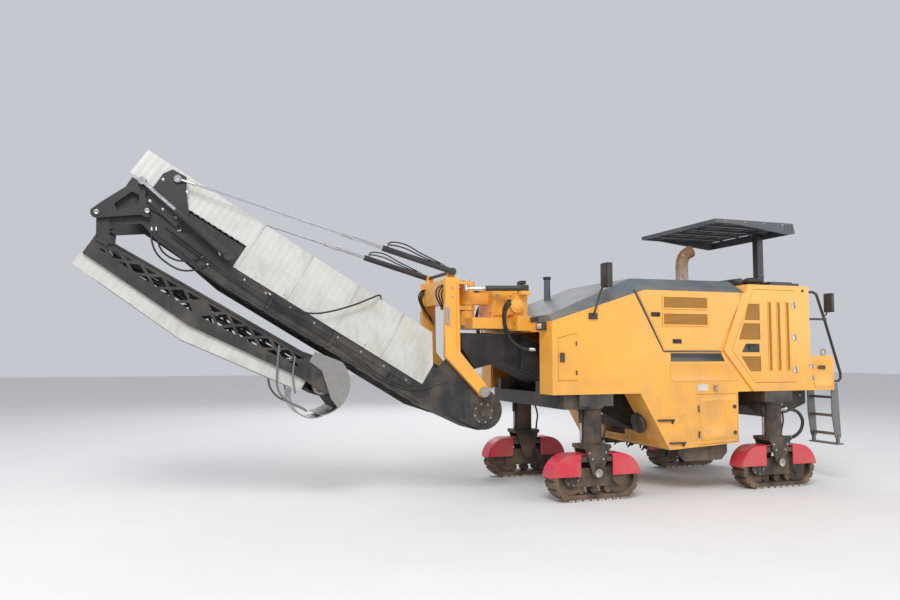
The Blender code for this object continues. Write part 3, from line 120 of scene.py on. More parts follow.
class Paint:
    """One material, wired from object coordinates to a Principled shader."""

    def __init__(self, name, roughness=0.5, metallic=0.0, coat=0.0):
        self.material = bpy.data.materials.new(name)
        self.material.use_nodes = True
        self.tree = self.material.node_tree
        self.shader = self.tree.nodes["Principled BSDF"]
        self.shader.inputs["Roughness"].default_value = roughness
        self.shader.inputs["Metallic"].default_value = metallic
        self.shader.inputs["Coat Weight"].default_value = coat
        self.shader.inputs["Coat Roughness"].default_value = 0.15
        place = self.tree.nodes.new("ShaderNodeTexCoord").outputs["Object"]
        self.place = Wire(self, place)
        split = self.tree.nodes.new("ShaderNodeSeparateXYZ")
        self.tree.links.new(place, split.inputs[0])
        self.x, self.y, self.z = (Wire(self, out) for out in split.outputs)
        facing = self.tree.nodes.new("ShaderNodeSeparateXYZ")
        self.tree.links.new(self.tree.nodes.new("ShaderNodeNewGeometry").outputs["Normal"], facing.inputs[0])
        self.up = Wire(self, facing.outputs[2])

    def feed(self, slot, value):
        if isinstance(value, Wire):
            self.tree.links.new(value.socket, slot)
        else:
            slot.default_value = (*value, 1.0) if isinstance(value, tuple) else value

    def noise(self, scale, detail=4.0, stretch=None):
        node = self.tree.nodes.new("ShaderNodeTexNoise")
        node.inputs["Scale"].default_value = scale
        node.inputs["Detail"].default_value = detail
        place = self.place.socket
        if stretch:
            mapping = self.tree.nodes.new("ShaderNodeMapping")
            mapping.inputs["Scale"].default_value = stretch
            self.tree.links.new(place, mapping.inputs[0])
            place = mapping.outputs[0]
        self.tree.links.new(place, node.inputs["Vector"])
        return Wire(self, node.outputs["Fac"])

    def cells(self, scale):
        node = self.tree.nodes.new("ShaderNodeTexVoronoi")
        node.inputs["Scale"].default_value = scale
        self.tree.links.new(self.place.socket, node.inputs["Vector"])
        return Wire(self, node.outputs["Distance"])

    def mix(self, share, first, second):
        node = self.tree.nodes.new("ShaderNodeMix")
        node.data_type = "RGBA"
        self.feed(node.inputs[0], share)
        self.feed(node.inputs[6], first)
        self.feed(node.inputs[7], second)
        return Wire(self, node.outputs[2])

    def set(self, name, value):
        self.feed(self.shader.inputs[name], value)
        return self

    def bump(self, height, depth, strength=1.0):
        node = self.tree.nodes.new("ShaderNodeBump")
        node.inputs["Strength"].default_value = strength
        node.inputs["Distance"].default_value = depth
        self.feed(node.inputs["Height"], height)
        self.tree.links.new(node.outputs[0], self.shader.inputs["Normal"])
        return self


DUST = (0.33, 0.24, 0.15)


def dust_share(paint, low=0.5, high=2.0):
    """Dust that gathers low on the machine and on whatever faces up."""
    height = paint.z.span(low, high, 0.6, 0.06)
    patches = paint.noise(3.5, 8).span(0.40, 0.72)
    streaks = paint.noise(9.0, 6, (2.2, 2.2, 0.25)).span(0.5, 0.75)
    lying = paint.up.span(0.5, 1.0, 0.0, 0.26)
    return height * patches + streaks * height * 0.35 + lying * patches


def painted(name, color, dark, roughness=0.33, coat=0.25, low=0.5, high=2.0, dust=1.0):
    """Machine enamel: mottled, streaked by dust, with small chips down to primer."""
    paint = Paint(name, roughness, 0.0, coat)
    base = paint.mix(paint.noise(1.1, 3).span(0.35, 0.7), color, dark)
    chips = (paint.noise(46.0, 8) > 0.705) * paint.z.span(low, high, 1.0, 0.35)
    scuffed = paint.mix(chips, base, (0.05, 0.035, 0.028))
    share = dust_share(paint, low, high) * dust
    paint.set("Base Color", paint.mix(share, scuffed, DUST))
    paint.set("Roughness", share.span(0, 0.7, roughness, 0.85) + paint.noise(60, 2) * 0.08)
    return paint.bump(paint.noise(150, 2) * 0.2 + paint.noise(6, 2) - chips * 0.6, 0.0008, 0.5)


def steel(name, color, rust, roughness=0.5, metallic=0.6, bright_below=None):
    paint = Paint(name, roughness, metallic)
    share = paint.noise(7, 10).span(0.38, 0.66)
    base = paint.mix(share, color, rust)
    base = paint.mix(dust_share(paint, 0.1, 1.4), base, DUST)
    if bright_below:
        worn = paint.z.span(bright_below * 0.4, bright_below, 1.0, 0.0) * paint.noise(30, 4).span(0.3, 0.55)
        base = paint.mix(worn, base, (0.62, 0.58, 0.52))
    paint.set("Base Color", base)
    paint.set("Roughness", share.span(0, 1, roughness, 0.85))
    return paint.bump(paint.noise(70, 6) + paint.cells(60) * 0.4, 0.0016, 0.6)


def rubber(name, color=(0.013, 0.013, 0.014), cords=None):
    paint = Paint(name, 0.72)
    share = dust_share(paint, 0.6, 3.0) * 0.75
    paint.set("Base Color", paint.mix(share, color, (0.16, 0.13, 0.10)))
    paint.set("Roughness", share.span(0, 0.6, 0.62, 0.92))
    height = paint.noise(90, 4) * 0.5
    if cords:
        height = height + (paint.x + paint.z).wave(cords) * 0.4
    return paint.bump(height, 0.0014, 0.6)


def ribbed_cover(name):
    """Pale glass-fibre cover with ribs across it, darker in the rib valleys."""
    paint = Paint(name, 0.45, 0.0, 0.1)
    along = paint.x * math.cos(PITCH) + paint.z * math.sin(PITCH)
    ribs = along.wave(0.085)
    # Dust share, raised towards the dust colour in the rib valleys, which makes them darker.
    share = dust_share(paint, 1.2, 4.4) + ribs.span(-1.0, -0.4, 0.08, 0.0)
    stains = paint.noise(5, 8, (1, 1, 0.35)).span(0.52, 0.78, 0.0, 0.5)
    base = paint.mix(stains, (0.56, 0.555, 0.52), (0.36, 0.33, 0.28))
    paint.set("Base Color", paint.mix(share, base, (0.36, 0.31, 0.25)))
    paint.set("Roughness", share.span(0, 0.6, 0.4, 0.8))
    return paint.bump(ribs * 0.8 + paint.noise(40, 3) * 0.2, 0.002, 0.6)


def bright_steel(name, color=(0.62, 0.62, 0.64), roughness=0.16):
    paint = Paint(name, roughness, 1.0)
    smear = paint.noise(14, 8).span(0.45, 0.75)
    paint.set("Base Color", paint.mix(smear * 0.5, color, (0.22, 0.19, 0.16)))
    paint.set("Roughness", smear.span(0, 1, roughness, 0.5))
    return paint.bump(paint.noise(220, 2), 0.0003, 0.3)


def scorched(name):
    """Exhaust steel, blued and browned by heat towards its mouth."""
    paint = Paint(name, 0.5, 0.7)
    heat = paint.z.span(2.95, 3.4) + paint.noise(9, 6) * 0.4
    base = paint.mix(heat.span(0.2, 1.1), (0.42, 0.36, 0.30), (0.20, 0.11, 0.06))
    paint.set("Base Color", paint.mix(paint.noise(35, 8).span(0.5, 0.7), base, (0.30, 0.16, 0.07)))
    paint.set("Roughness", paint.noise(20, 4).span(0.3, 0.7, 0.35, 0.8))
    return paint.bump(paint.noise(80, 6), 0.0012, 0.6)


def plastic(name, color=(0.014, 0.015, 0.017), roughness=0.45):
    paint = Paint(name, roughness)
    share = dust_share(paint, 1.2, 3.4) * 0.7
    paint.set("Base Color", paint.mix(share, color, DUST))
    paint.set("Roughness", share.span(0, 0.6, roughness, 0.85))
    return paint.bump(paint.noise(320, 2), 0.0004, 0.5)


def wire_mesh(name, pitch=0.016):
    """Perforated grille: enamelled strands round openings filled with painted shade, a darker copy of the
    strand colour.
    """
    paint = Paint(name, 0.5, 0.4)
    threads = paint.x.wave(pitch).most(paint.z.wave(pitch))
    strands_over_shade = threads.span(0.45, 0.7)
    # Painted shade: the openings take a darker copy of the strand colour for the shade seen through the
    # grille; only the strands take dust.
    base = paint.mix(strands_over_shade, (0.16, 0.07, 0.012), (0.62, 0.30, 0.055))
    paint.set("Base Color", paint.mix(dust_share(paint, 1.0, 3.0) * strands_over_shade, base, DUST))
    return paint.bump(threads, 0.003, 0.9)


def concrete(name):
    paint = Paint(name, 0.8)
    paint.set("Base Color", paint.mix(paint.noise(1.5, 6), (0.78, 0.77, 0.76), (0.72, 0.715, 0.71)))
    return paint.bump(paint.noise(30, 6), 0.001, 0.3)


def banded(name):
    """Reflector strip in red and white bands."""
    paint = Paint(name, 0.25, 0.0, 0.5)
    bands = (paint.x - paint.z).wave(0.17) > 0.0
    grain = paint.cells(320)
    base = paint.mix(bands, (0.75, 0.74, 0.70), (0.55, 0.02, 0.03))
    paint.set("Base Color", paint.mix(dust_share(paint, 1.0, 4.0), base, DUST))
    return paint.bump(grain, 0.0006, 0.5)


def lamp(name, color=(0.9, 0.9, 0.85)):
    paint = Paint(name, 0.08, 0.3, 0.6)
    ribs = paint.y.wave(0.02) + paint.z.wave(0.05)
    paint.set("Base Color", paint.mix(ribs.span(-1, 1), color, (0.5, 0.5, 0.5)))
    return paint.bump(ribs, 0.001, 0.5)


def make_finishes(colors):
    """Every finish by name; the painted ones start from the panel's colours."""
    yellow = tuple(colors.body)
    made = {
        "yellow": painted("body enamel", yellow, tuple(c * 0.86 for c in yellow), high=2.1),
        "slate": painted("hood enamel", tuple(colors.hood), (0.085, 0.105, 0.125), 0.58, 0.05, 2.0, 3.4, 0.8),
        "canopy": painted("canopy enamel", (0.045, 0.062, 0.082), (0.03, 0.04, 0.055), 0.4, 0.1, 2.9, 4.4,
                          0.7),
        "red": painted("fender enamel", tuple(colors.fender), (0.55, 0.02, 0.045), 0.36, 0.2, -0.1, 1.3),
        "black": painted("frame enamel", (0.014, 0.015, 0.017), (0.024, 0.024, 0.025), 0.42, 0.1, 0.6, 3.6,
                         0.55),
        # Black film for the side stripe and the seams; the same black also paints the shade inside the post
        # holes and the canopy slots.
        "stripe": painted("stripe film and painted shade", (0.012, 0.012, 0.013), (0.02, 0.02, 0.021), 0.3, 0.3, 0.5, 2.0, 0.4),
        "cast": steel("cast steel", (0.035, 0.034, 0.036), (0.10, 0.065, 0.045), 0.5, 0.35),
        "chain": steel("track steel", (0.06, 0.05, 0.046), (0.17, 0.085, 0.055), 0.55, 0.45, 0.03),
        "cover": ribbed_cover("ribbed cover"),
        "belt": rubber("belt rubber", cords=0.012),
        "hose": rubber("hose rubber", (0.010, 0.010, 0.011)),
        "chrome": bright_steel("rod chrome"),
        "zinc": bright_steel("zinc plate", (0.48, 0.46, 0.42), 0.32),
        "worn_sheet": bright_steel("worn sheet", (0.42, 0.40, 0.38), 0.34),
        "exhaust": scorched("scorched steel"),
        "plastic": plastic("black moulding"),
        "grey": painted("grey enamel", (0.16, 0.165, 0.17), (0.11, 0.112, 0.115), 0.42, 0.1, 0.3, 1.8),
        "mesh": wire_mesh("wire mesh over painted shade"),
        "reflector": banded("reflector bands"),
        "lamp": lamp("lamp lens"),
        "label": painted("blank plate", (0.72, 0.71, 0.68), (0.62, 0.60, 0.57), 0.4, 0.0, 0.2, 2.0, 0.8),
        "mirror": bright_steel("mirror glass", (0.8, 0.8, 0.82), 0.03),
    }
    return {key: paint.material for key, paint in made.items()}


FINISH = {}


# ---------------------------------------------------------------- modelling by operators
def fresh():
    """Back to object mode with nothing selected."""
    if bpy.context.mode != "OBJECT":
        bpy.ops.object.mode_set(mode="OBJECT")
    bpy.ops.object.select_all(action="DESELECT")


def settle(piece):
    """Puts the piece's place into its mesh."""
    fresh()
    piece.select_set(True)
    bpy.context.view_layer.objects.active = piece
    bpy.ops.object.transform_apply(location=True, rotation=True, scale=True)
    return piece


def pick(piece, test, kind="FACE"):
    """Edit mode with the faces, or the edges, that pass the test selected."""
    bpy.ops.object.mode_set(mode="EDIT")
    bpy.ops.mesh.select_mode(type=kind)
    bpy.ops.mesh.select_all(action="DESELECT")
    mesh = bmesh.from_edit_mesh(piece.data)
    for part in mesh.faces if kind == "FACE" else mesh.edges:
        part.select = test(part)
    mesh.select_flush_mode()
    bmesh.update_edit_mesh(piece.data)


def block(low, high, bevel=0.004, face=None, inset=0.02, depth=0.0, segments=2):
    """A box with eased edges; face is a direction whose side is inset and pushed in or out."""
    low, high = Vector(low), Vector(high)
    fresh()
    bpy.ops.mesh.primitive_cube_add(size=1, location=(low + high) / 2)
    piece = bpy.context.active_object
    piece.scale = high - low
    settle(piece)
    if face:
        way = Vector(face)
        pick(piece, lambda part: part.normal.dot(way) > 0.9)
        bpy.ops.mesh.inset(thickness=inset)
        bpy.ops.mesh.extrude_region_shrink_fatten(TRANSFORM_OT_shrink_fatten={"value": -depth})
        bpy.ops.object.mode_set(mode="OBJECT")
    return eased(piece, bevel, segments)


def eased(piece, width, segments=2, angle=30):
    """A bevel on the sharp edges, applied."""
    fresh()
    piece.select_set(True)
    bpy.context.view_layer.objects.active = piece
    if width:
        bevel = piece.modifiers.new("eased", "BEVEL")
        bevel.width, bevel.segments, bevel.limit_method = width, segments, "ANGLE"
        bevel.angle_limit = math.radians(angle)
        bpy.ops.object.modifier_apply(modifier=bevel.name)
    bpy.ops.object.shade_smooth_by_angle(angle=math.radians(40))
    return piece


def turned_bar(start, end, radius, sides=20, rim=0.0, cup=0.0, depth=0.0, tip=None):
    """A round bar with eased rims; with cup, its far end is inset and sunk."""
    start, end = Vector(start), Vector(end)
    fresh()
    bpy.ops.mesh.primitive_cone_add(vertices=sides, radius1=radius, radius2=radius if tip is None else tip,
                                    depth=(end - start).length, location=(start + end) / 2,
                                    rotation=(end - start).to_track_quat("Z", "Y").to_euler())
    piece = bpy.context.active_object
    settle(piece)
    if cup:
        way = (end - start).normalized()
        pick(piece, lambda part: part.normal.dot(way) > 0.95)
        bpy.ops.mesh.inset(thickness=cup)
        bpy.ops.mesh.extrude_region_shrink_fatten(TRANSFORM_OT_shrink_fatten={"value": -depth})
        bpy.ops.object.mode_set(mode="OBJECT")
    return eased(piece, rim or radius * 0.12)


def hose(points, radius, smooth=True, sides=3):
    """A bent tube through the points, made a mesh."""
    fresh()
    bpy.ops.curve.primitive_bezier_curve_add(location=(0, 0, 0))
    piece = bpy.context.active_object
    curve = piece.data
    curve.splines.clear()
    curve.dimensions, curve.bevel_depth, curve.bevel_resolution = "3D", radius, sides
    curve.use_fill_caps, curve.resolution_u = True, 8
    spline = curve.splines.new("BEZIER" if smooth else "POLY")
    if smooth:
        spline.bezier_points.add(len(points) - 1)
        for knot, place in zip(spline.bezier_points, points):
            knot.co = place
            knot.handle_left_type = knot.handle_right_type = "AUTO"
    else:
        spline.points.add(len(points) - 1)
        for knot, place in zip(spline.points, points):
            knot.co = (*place, 1)
    fresh()
    piece.select_set(True)
    bpy.context.view_layer.objects.active = piece
    bpy.ops.object.convert(target="MESH")
    bpy.ops.object.shade_smooth()
    return bpy.context.active_object


def route(knots, steps=6):
    """Points along one smooth curve through the knots."""
    knots = [Vector(knot) for knot in knots]
    ends = [2 * knots[0] - knots[1], *knots, 2 * knots[-1] - knots[-2]]
    points = []
    for a, b, c, d in zip(ends, ends[1:], ends[2:], ends[3:]):
        for step in range(steps):
            t = step / steps
            points.append(0.5 * (2 * b + (c - a) * t + (2 * a - 5 * b + 4 * c - d) * t * t
                                 + (3 * b - a - 3 * c + d) * t ** 3))
    return points + [knots[-1]]


def free_hose(name, knots, radius, body="root"):
    """A hydraulic hose with crimped ends, held only at its two ends."""
    path = route(knots)
    piece = hose(path, radius, False, 4)
    fit(name, [piece], "hose", body)
    ends = []
    for near, far in ((path[0], path[1]), (path[-1], path[-2])):
        way = (far - near).normalized()
        ends.append(turned_bar(near - way * radius * 0.5, near + way * radius * 4, radius * 1.35, 12,
                               radius * 0.2))
    fit(f"{name}_crimps", ends, "zinc", body)
    length = sum((b - a).length for a, b in zip(path, path[1:]))


def sheet(outline, low, high, side="XZ", bevel=0.002, window=None, place=at):
    """A flat plate of any outline, filled and extruded; window insets and sinks its broad face."""
    order = {"XZ": lambda a, b, c: (a, c, b), "YZ": lambda a, b, c: (c, a, b), "XY": lambda a, b,
             c: (a, b, c)}[side]
    fresh()
    bpy.ops.mesh.primitive_circle_add(vertices=len(outline), fill_type="NGON", location=(0, 0, 0))
    piece = bpy.context.active_object
    for corner, (a, b) in zip(piece.data.vertices, outline):
        corner.co = place(*order(a, b, low))
    bpy.ops.object.mode_set(mode="EDIT")
    bpy.ops.mesh.select_all(action="SELECT")
    bpy.ops.mesh.extrude_region_move(TRANSFORM_OT_translate={"value": order(0, 0, high - low)})
    bpy.ops.mesh.select_all(action="SELECT")
    bpy.ops.mesh.normals_make_consistent(inside=False)
    bpy.ops.object.mode_set(mode="OBJECT")
    if window:
        way = Vector(order(0, 0, 1 if high > low else -1))
        pick(piece, lambda part: part.normal.dot(way) > 0.9)
        bpy.ops.mesh.inset(thickness=window[0])
        bpy.ops.mesh.extrude_region_shrink_fatten(TRANSFORM_OT_shrink_fatten={"value": -window[1]})
        bpy.ops.object.mode_set(mode="OBJECT")
    return eased(piece, bevel)


def copies(piece, moves):
    """The piece and a copy, with its own mesh, at each move."""
    made = [piece]
    for move in moves:
        other = piece.copy()
        other.data = piece.data.copy()
        bpy.context.collection.objects.link(other)
        other.data.transform(move if isinstance(move, Matrix) else Matrix.Translation(Vector(move)))
        made.append(other)
    return made


def bolts(points, way, size=0.014):
    """One hexagon bolt with its washer, copied to every point."""
    way = Vector(way).normalized()
    first = Vector(points[0])
    head = turned_bar(first, first + way * size * 0.7, size, 6, size * 0.1, size * 0.3, 0.001)
    washer = turned_bar(first - way * 0.001, first + way * size * 0.18, size * 1.35, 14)
    return copies(joined([head, washer]), [Vector(point) - first for point in points[1:]])


def mirror_of(piece):
    """A copy on the other side of the machine."""
    other = piece.copy()
    other.data = piece.data.copy()
    bpy.context.collection.objects.link(other)
    settle(other)
    other.data.transform(Matrix.Scale(-1, 4, (0, 1, 0)))
    other.data.flip_normals()
    return other


def joined(pieces):
    if len(pieces) == 1:
        return pieces[0]
    fresh()
    for piece in pieces:
        piece.select_set(True)
    bpy.context.view_layer.objects.active = pieces[0]
    bpy.ops.object.join()
    return bpy.context.active_object


def fit(name, pieces, finish, body="root"):
    """Joins the pieces into one named fitting, finishes it and lets it ride on its body."""
    pieces = pieces if isinstance(pieces, list) else [pieces]
    whole = joined(pieces)
    whole.name = name
    whole.data.name = name
    whole.data.materials.clear()
    whole.data.materials.append(FINISH[finish])
    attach(whole, body)
    return whole


# ---------------------------------------------------------------- settings
class PlanerColors(bpy.types.PropertyGroup):
    body: FloatVectorProperty(name="Body", description="Enamel of the bodywork", subtype="COLOR",
                              default=(0.93, 0.43, 0.055), min=0, max=1)
    hood: FloatVectorProperty(name="Hood", description="Enamel of the hood", subtype="COLOR",
                              default=(0.115, 0.14, 0.165), min=0, max=1)
    fender: FloatVectorProperty(name="Fenders", description="Enamel of the track fenders", subtype="COLOR",
                                default=(0.72, 0.03, 0.07), min=0, max=1)


class PlanerSizes(bpy.types.PropertyGroup):
    bolt: FloatProperty(name="Bolt head", description="Half width of a bolt's head", default=0.013,
                        unit="LENGTH")
    hose: FloatProperty(name="Hose", description="Radius of a hydraulic hose", default=0.014, unit="LENGTH")
    cleats: IntProperty(name="Cleats", description="Cleats on a belt's visible run", default=14, min=2)
    lens: FloatProperty(name="Lens", description="Focal length of the camera in millimetres", default=30.54)


SHOES = 28  # plates on one track
CORNERS = {"front_left": (AXLE, 1.07), "front_right": (AXLE, -1.07),
           "rear_left": (-AXLE, 1.07), "rear_right": (-AXLE, -1.07)}


class PLANER_OT_paint(bpy.types.Operator):
    """Gives every part of the frame its finish"""

    bl_idname = "planer.paint"
    bl_label = "Paint and Wear"

    def execute(self, context):
        FINISH.update(make_finishes(context.scene.planer_colors))
        nodes = {
            "yellow": "body_shell drum_housing front_bracket slew_frame engine_door_left engine_door_right "
                      "rear_door_left rear_door_right locker_door drum_door",
            "slate": "hood", "canopy": "canopy", "exhaust": "exhaust_pipe",
            "black": "chassis_frame canopy_post operator_console handrail_left handrail_right "
                     "boom_inner_frame boom_outer_frame fold_crank fold_cylinder_barrels "
                     "luff_cylinder_barrels slew_barrel_left slew_barrel_right",
            "cast": "engine_block milling_drum side_plate_left side_plate_right scraper_blade",
            "grey": "ladder",
            "cover": "boom_cover boom_outer_guard",
            "belt": "primary_conveyor boom_inner_belt boom_outer_belt",
            "worn_sheet": "discharge_head",
            "plastic": "air_precleaner mirror_left mirror_right",
            "chrome": "fold_rod_left fold_rod_right luff_rod_left luff_rod_right slew_rod_left "
                      "slew_rod_right",
        }
        for corner in CORNERS:
            nodes["cast"] += f" leg_{corner}"
            nodes["chain"] = nodes.get("chain", "") + f" track_{corner}"
            nodes["red"] = nodes.get("red", "") + f" fender_{corner}"
        for finish, names in nodes.items():
            for name in names.split():
                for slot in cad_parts[name].material_slots:
                    slot.material = FINISH[finish]
        return {"FINISHED"}


class PLANER_OT_engine_doors(bpy.types.Operator):
    """Grilles, handles and studs of the engine doors"""

    bl_idname = "planer.engine_doors"
    bl_label = "Engine Doors"

    def execute(self, context):
        size = context.scene.planer_sizes.bolt
        y = SIDE + 0.0004
        rims, nets, dark = [], [], []
        for low, high in ((2.285, 2.475), (2.515, 2.705)):
            rims.append(block(at(-0.30, y, low), at(0.455, y + 0.012, high), 0.004, (0, 1, 0), 0.022, 0.009))
            nets.append(block(at(-0.278, y + 0.003, low + 0.022), at(0.433, y + 0.006, high - 0.022), 0.0,
                              (0, 1, 0), 0.004, -0.002))
        for x, z in ((0.564, 2.441), (0.227, 2.077)):
            dark.append(block(at(x - 0.07, y, z - 0.03), at(x + 0.07, y + 0.012, z + 0.03), 0.006,
                              (0, 1, 0), 0.014, 0.008))
            dark.append(turned_bar(at(x - 0.03, y + 0.004, z), at(x - 0.03, y + 0.016, z), 0.014, 18, 0.002,
                                   0.004, 0.003))
            dark.append(block(at(x - 0.02, y + 0.006, z - 0.010), at(x + 0.05, y + 0.015, z + 0.010), 0.004,
                              (0, 1, 0), 0.004, 0.001))
        edge = bolts([at(x, y, 2.72) for x in (-0.78, -0.55, -0.42, 0.55, 0.70, 0.80)], (0, 1, 0), size * 0.6)
        low_edge = bolts([at(x, y, 1.985) for x in (-0.44, -0.2, 0.0, 0.38)], (0, 1, 0), size * 0.6)
        body = "engine_door_{}_body"
        on_both("grille_frames", "yellow", body, rims)
        on_both("grille_mesh", "mesh", body, nets)
        on_both("engine_handles", "plastic", body, dark)
        on_both("engine_studs", "zinc", body, edge + low_edge)
        return {"FINISHED"}


def copied(piece, place):
    """A copy with a mesh of its own, moved by the matrix place."""
    other = piece.copy()
    other.data = piece.data.copy()
    bpy.context.collection.objects.link(other)
    other.data.transform(place)
    return other


def discard(pieces):
    for piece in pieces:
        bpy.data.objects.remove(piece, do_unlink=True)


def on_both(name, finish, body, pieces):
    """The same fitting on the left and, mirrored, on the right. In body, {} stands for the side."""
    right = [mirror_of(piece) for piece in pieces]
    fit(f"{name}_left", pieces, finish, body.format("left"))
    fit(f"{name}_right", right, finish, body.format("right"))


class PLANER_OT_rear_doors(bpy.types.Operator):
    """Louvres, mesh windows, latches and hinges of the cooler doors"""

    bl_idname = "planer.rear_doors"
    bl_label = "Cooler Doors"

    def execute(self, context):
        y = SIDE + 0.0004
        body = "rear_door_{}_body"
        slots = []
        for x in (-1.36, -1.52, -1.68):
            slots.append(block(at(x - 0.034, y, 1.66), at(x + 0.034, y + 0.010, 2.66), 0.005, (0, 1, 0),
                               0.012, 0.008))
        on_both("louvre_frames", "yellow", body, slots)
        dark = [block(at(x - 0.022, y + 0.001, 1.672), at(x + 0.022, y + 0.005, 2.648), 0.001, (0, 1, 0),
                      0.003, 0.001)
                for x in (-1.36, -1.52, -1.68)]
        on_both("louvre_mesh", "mesh", body, dark)
        nets = []
        for outline in ([(-0.99, 2.62), (-1.18, 2.62), (-1.18, 2.39), (-0.92, 2.39)],
                        [(-0.90, 2.34), (-1.18, 2.34), (-1.18, 2.11), (-0.815, 2.11)],
                        [(-0.85, 1.87), (-1.18, 1.87), (-1.18, 1.66), (-1.0, 1.66)]):
            nets.append(sheet(outline, y, y + 0.006, "XZ", 0.0015, (0.008, 0.003)))
        on_both("cooler_mesh", "mesh", body, nets)
        latch = [sheet([(-0.93, 2.05), (-1.16, 2.05), (-1.16, 1.93), (-0.86, 1.93)], y, y + 0.008, "XZ",
                       0.002, (0.012, 0.004))]
        latch.append(block(at(-1.10, y + 0.004, 1.965), at(-0.97, y + 0.02, 2.015), 0.008, (0, 1, 0), 0.008,
                           0.004))
        on_both("cooler_latch", "plastic", body, latch)
        hinges = []
        for z in (2.62, 2.15, 1.68):
            hinges.append(turned_bar(at(-1.818, y + 0.009, z - 0.05), at(-1.818, y + 0.009, z + 0.05),
                                     0.009, 14, 0.002))
            hinges.append(block(at(-1.81, y, z - 0.04), at(-1.755, y + 0.006, z + 0.04), 0.002, (0, 1, 0),
                                0.006, 0.001))
        on_both("cooler_hinges", "zinc", body, hinges)
        return {"FINISHED"}


class PLANER_OT_small_doors(bpy.types.Operator):
    """Latches and hinges of the locker and the drum door, and the side's plates and steps"""

    bl_idname = "planer.small_doors"
    bl_label = "Small Doors and Plates"

    def execute(self, context):
        y = SIDE + 0.0004
        locker = [block(at(1.955, y, 1.80), at(2.02, y + 0.02, 1.92), 0.006, (0, 1, 0), 0.012, 0.008)]
        locker += [turned_bar(at(1.78, y + 0.008, z - 0.03), at(1.78, y + 0.008, z + 0.03), 0.008, 14)
                   for z in (1.66, 2.04)]
        fit("locker_fittings", locker, "plastic", "locker_door_body")
        drum = [turned_bar(at(-0.70, y, z), at(-0.70, y + 0.014, z), 0.028, 20, 0.003, 0.008, 0.005)
                for z in (1.17, 0.81)]
        drum += [turned_bar(at(-0.10, y + 0.008, z - 0.045), at(-0.10, y + 0.008, z + 0.045), 0.010, 14)
                 for z in (1.15, 0.80)]
        fit("drum_door_fittings", drum, "plastic", "drum_door_body")
        rim = sheet([(-0.13, 1.30), (-0.70, 1.30), (-0.70, 0.74), (-0.13, 0.71)], y, y + 0.004, "XZ", 0.002,
                    (0.05, 0.003))
        fit("drum_door_panel", rim, "yellow", "drum_door_body")
        fit("blank_plate", block(at(-0.263, y, 1.40), at(-0.09, y + 0.003, 1.485), 0.001, (0, 1, 0), 0.005,
                                 0.0008), "label")
        tab = [sheet([(-0.37, 1.47), (-0.41, 1.47), (-0.41, 1.40), (-0.37, 1.40)], y, y + 0.03, "XZ", 0.004,
                     (0.01, 0.004))]
        fit("side_bracket", tab, "exhaust")
        stripe = sheet([(0.335, 1.915), (-0.50, 1.915), (-0.56, 1.80), (0.335, 1.80)], y, y + 0.0012, "XZ",
                       0.0004, (0.003, 0.0004))
        on_both("side_stripe", "stripe", "root", [stripe])
        seam = sheet([(0.915, 2.77), (0.87, 2.77), (0.435, 1.945), (-0.50, 1.945), (-0.51, 1.925),
                      (0.425, 1.925), (0.455, 1.935)],
                     y, y + 0.0015, "XZ", 0.0004)
        on_both("split_line", "stripe", "root", [seam])
        panel = sheet([(0.345, 1.78), (-0.58, 1.78), (-0.80, 1.53), (0.30, 1.53), (0.345, 1.58)], y,
                      y + 0.005, "XZ", 0.002, (0.012, 0.002))
        on_both("lower_panel", "yellow", "root", [panel])
        studs = bolts([at(x, y + 0.004, z) for x,
                       z in ((0.32, 1.76), (-0.56, 1.755), (-0.76, 1.545), (0.29, 1.545), (-0.2, 1.545))],
                      (0, 1, 0), 0.008)
        on_both("lower_panel_studs", "zinc", "root", studs)
        steps = []
        for x0, x1, z in ((0.30, 0.56, 1.01), (0.13, 0.38, 0.70)):
            steps.append(block(at(x0, y - 0.03, z - 0.012), at(x1, y + 0.03, z + 0.012), 0.004, (0, 0, 1),
                               0.012, 0.006))
            steps.append(block(at(x0 + 0.02, y - 0.03, z - 0.05), at(x0 + 0.04, y + 0.02, z), 0.003,
                               (0, 1, 0), 0.004, 0.002))
        on_both("side_steps", "black", "root", steps)
        hub = [turned_bar(at(0.60, SIDE - 0.35, 0.96), at(0.66, SIDE - 0.35, 0.945), 0.14, 32, 0.006, 0.03,
                          0.012)]
        hub += bolts([at(0.668, SIDE - 0.35 + 0.105 * math.cos(a), 0.945 + 0.105 * math.sin(a))
                      for a in (math.radians(45 * i) for i in range(8))], (1, 0, -0.3), 0.011)
        fit("bearing_cover", hub, "black")
        return {"FINISHED"}


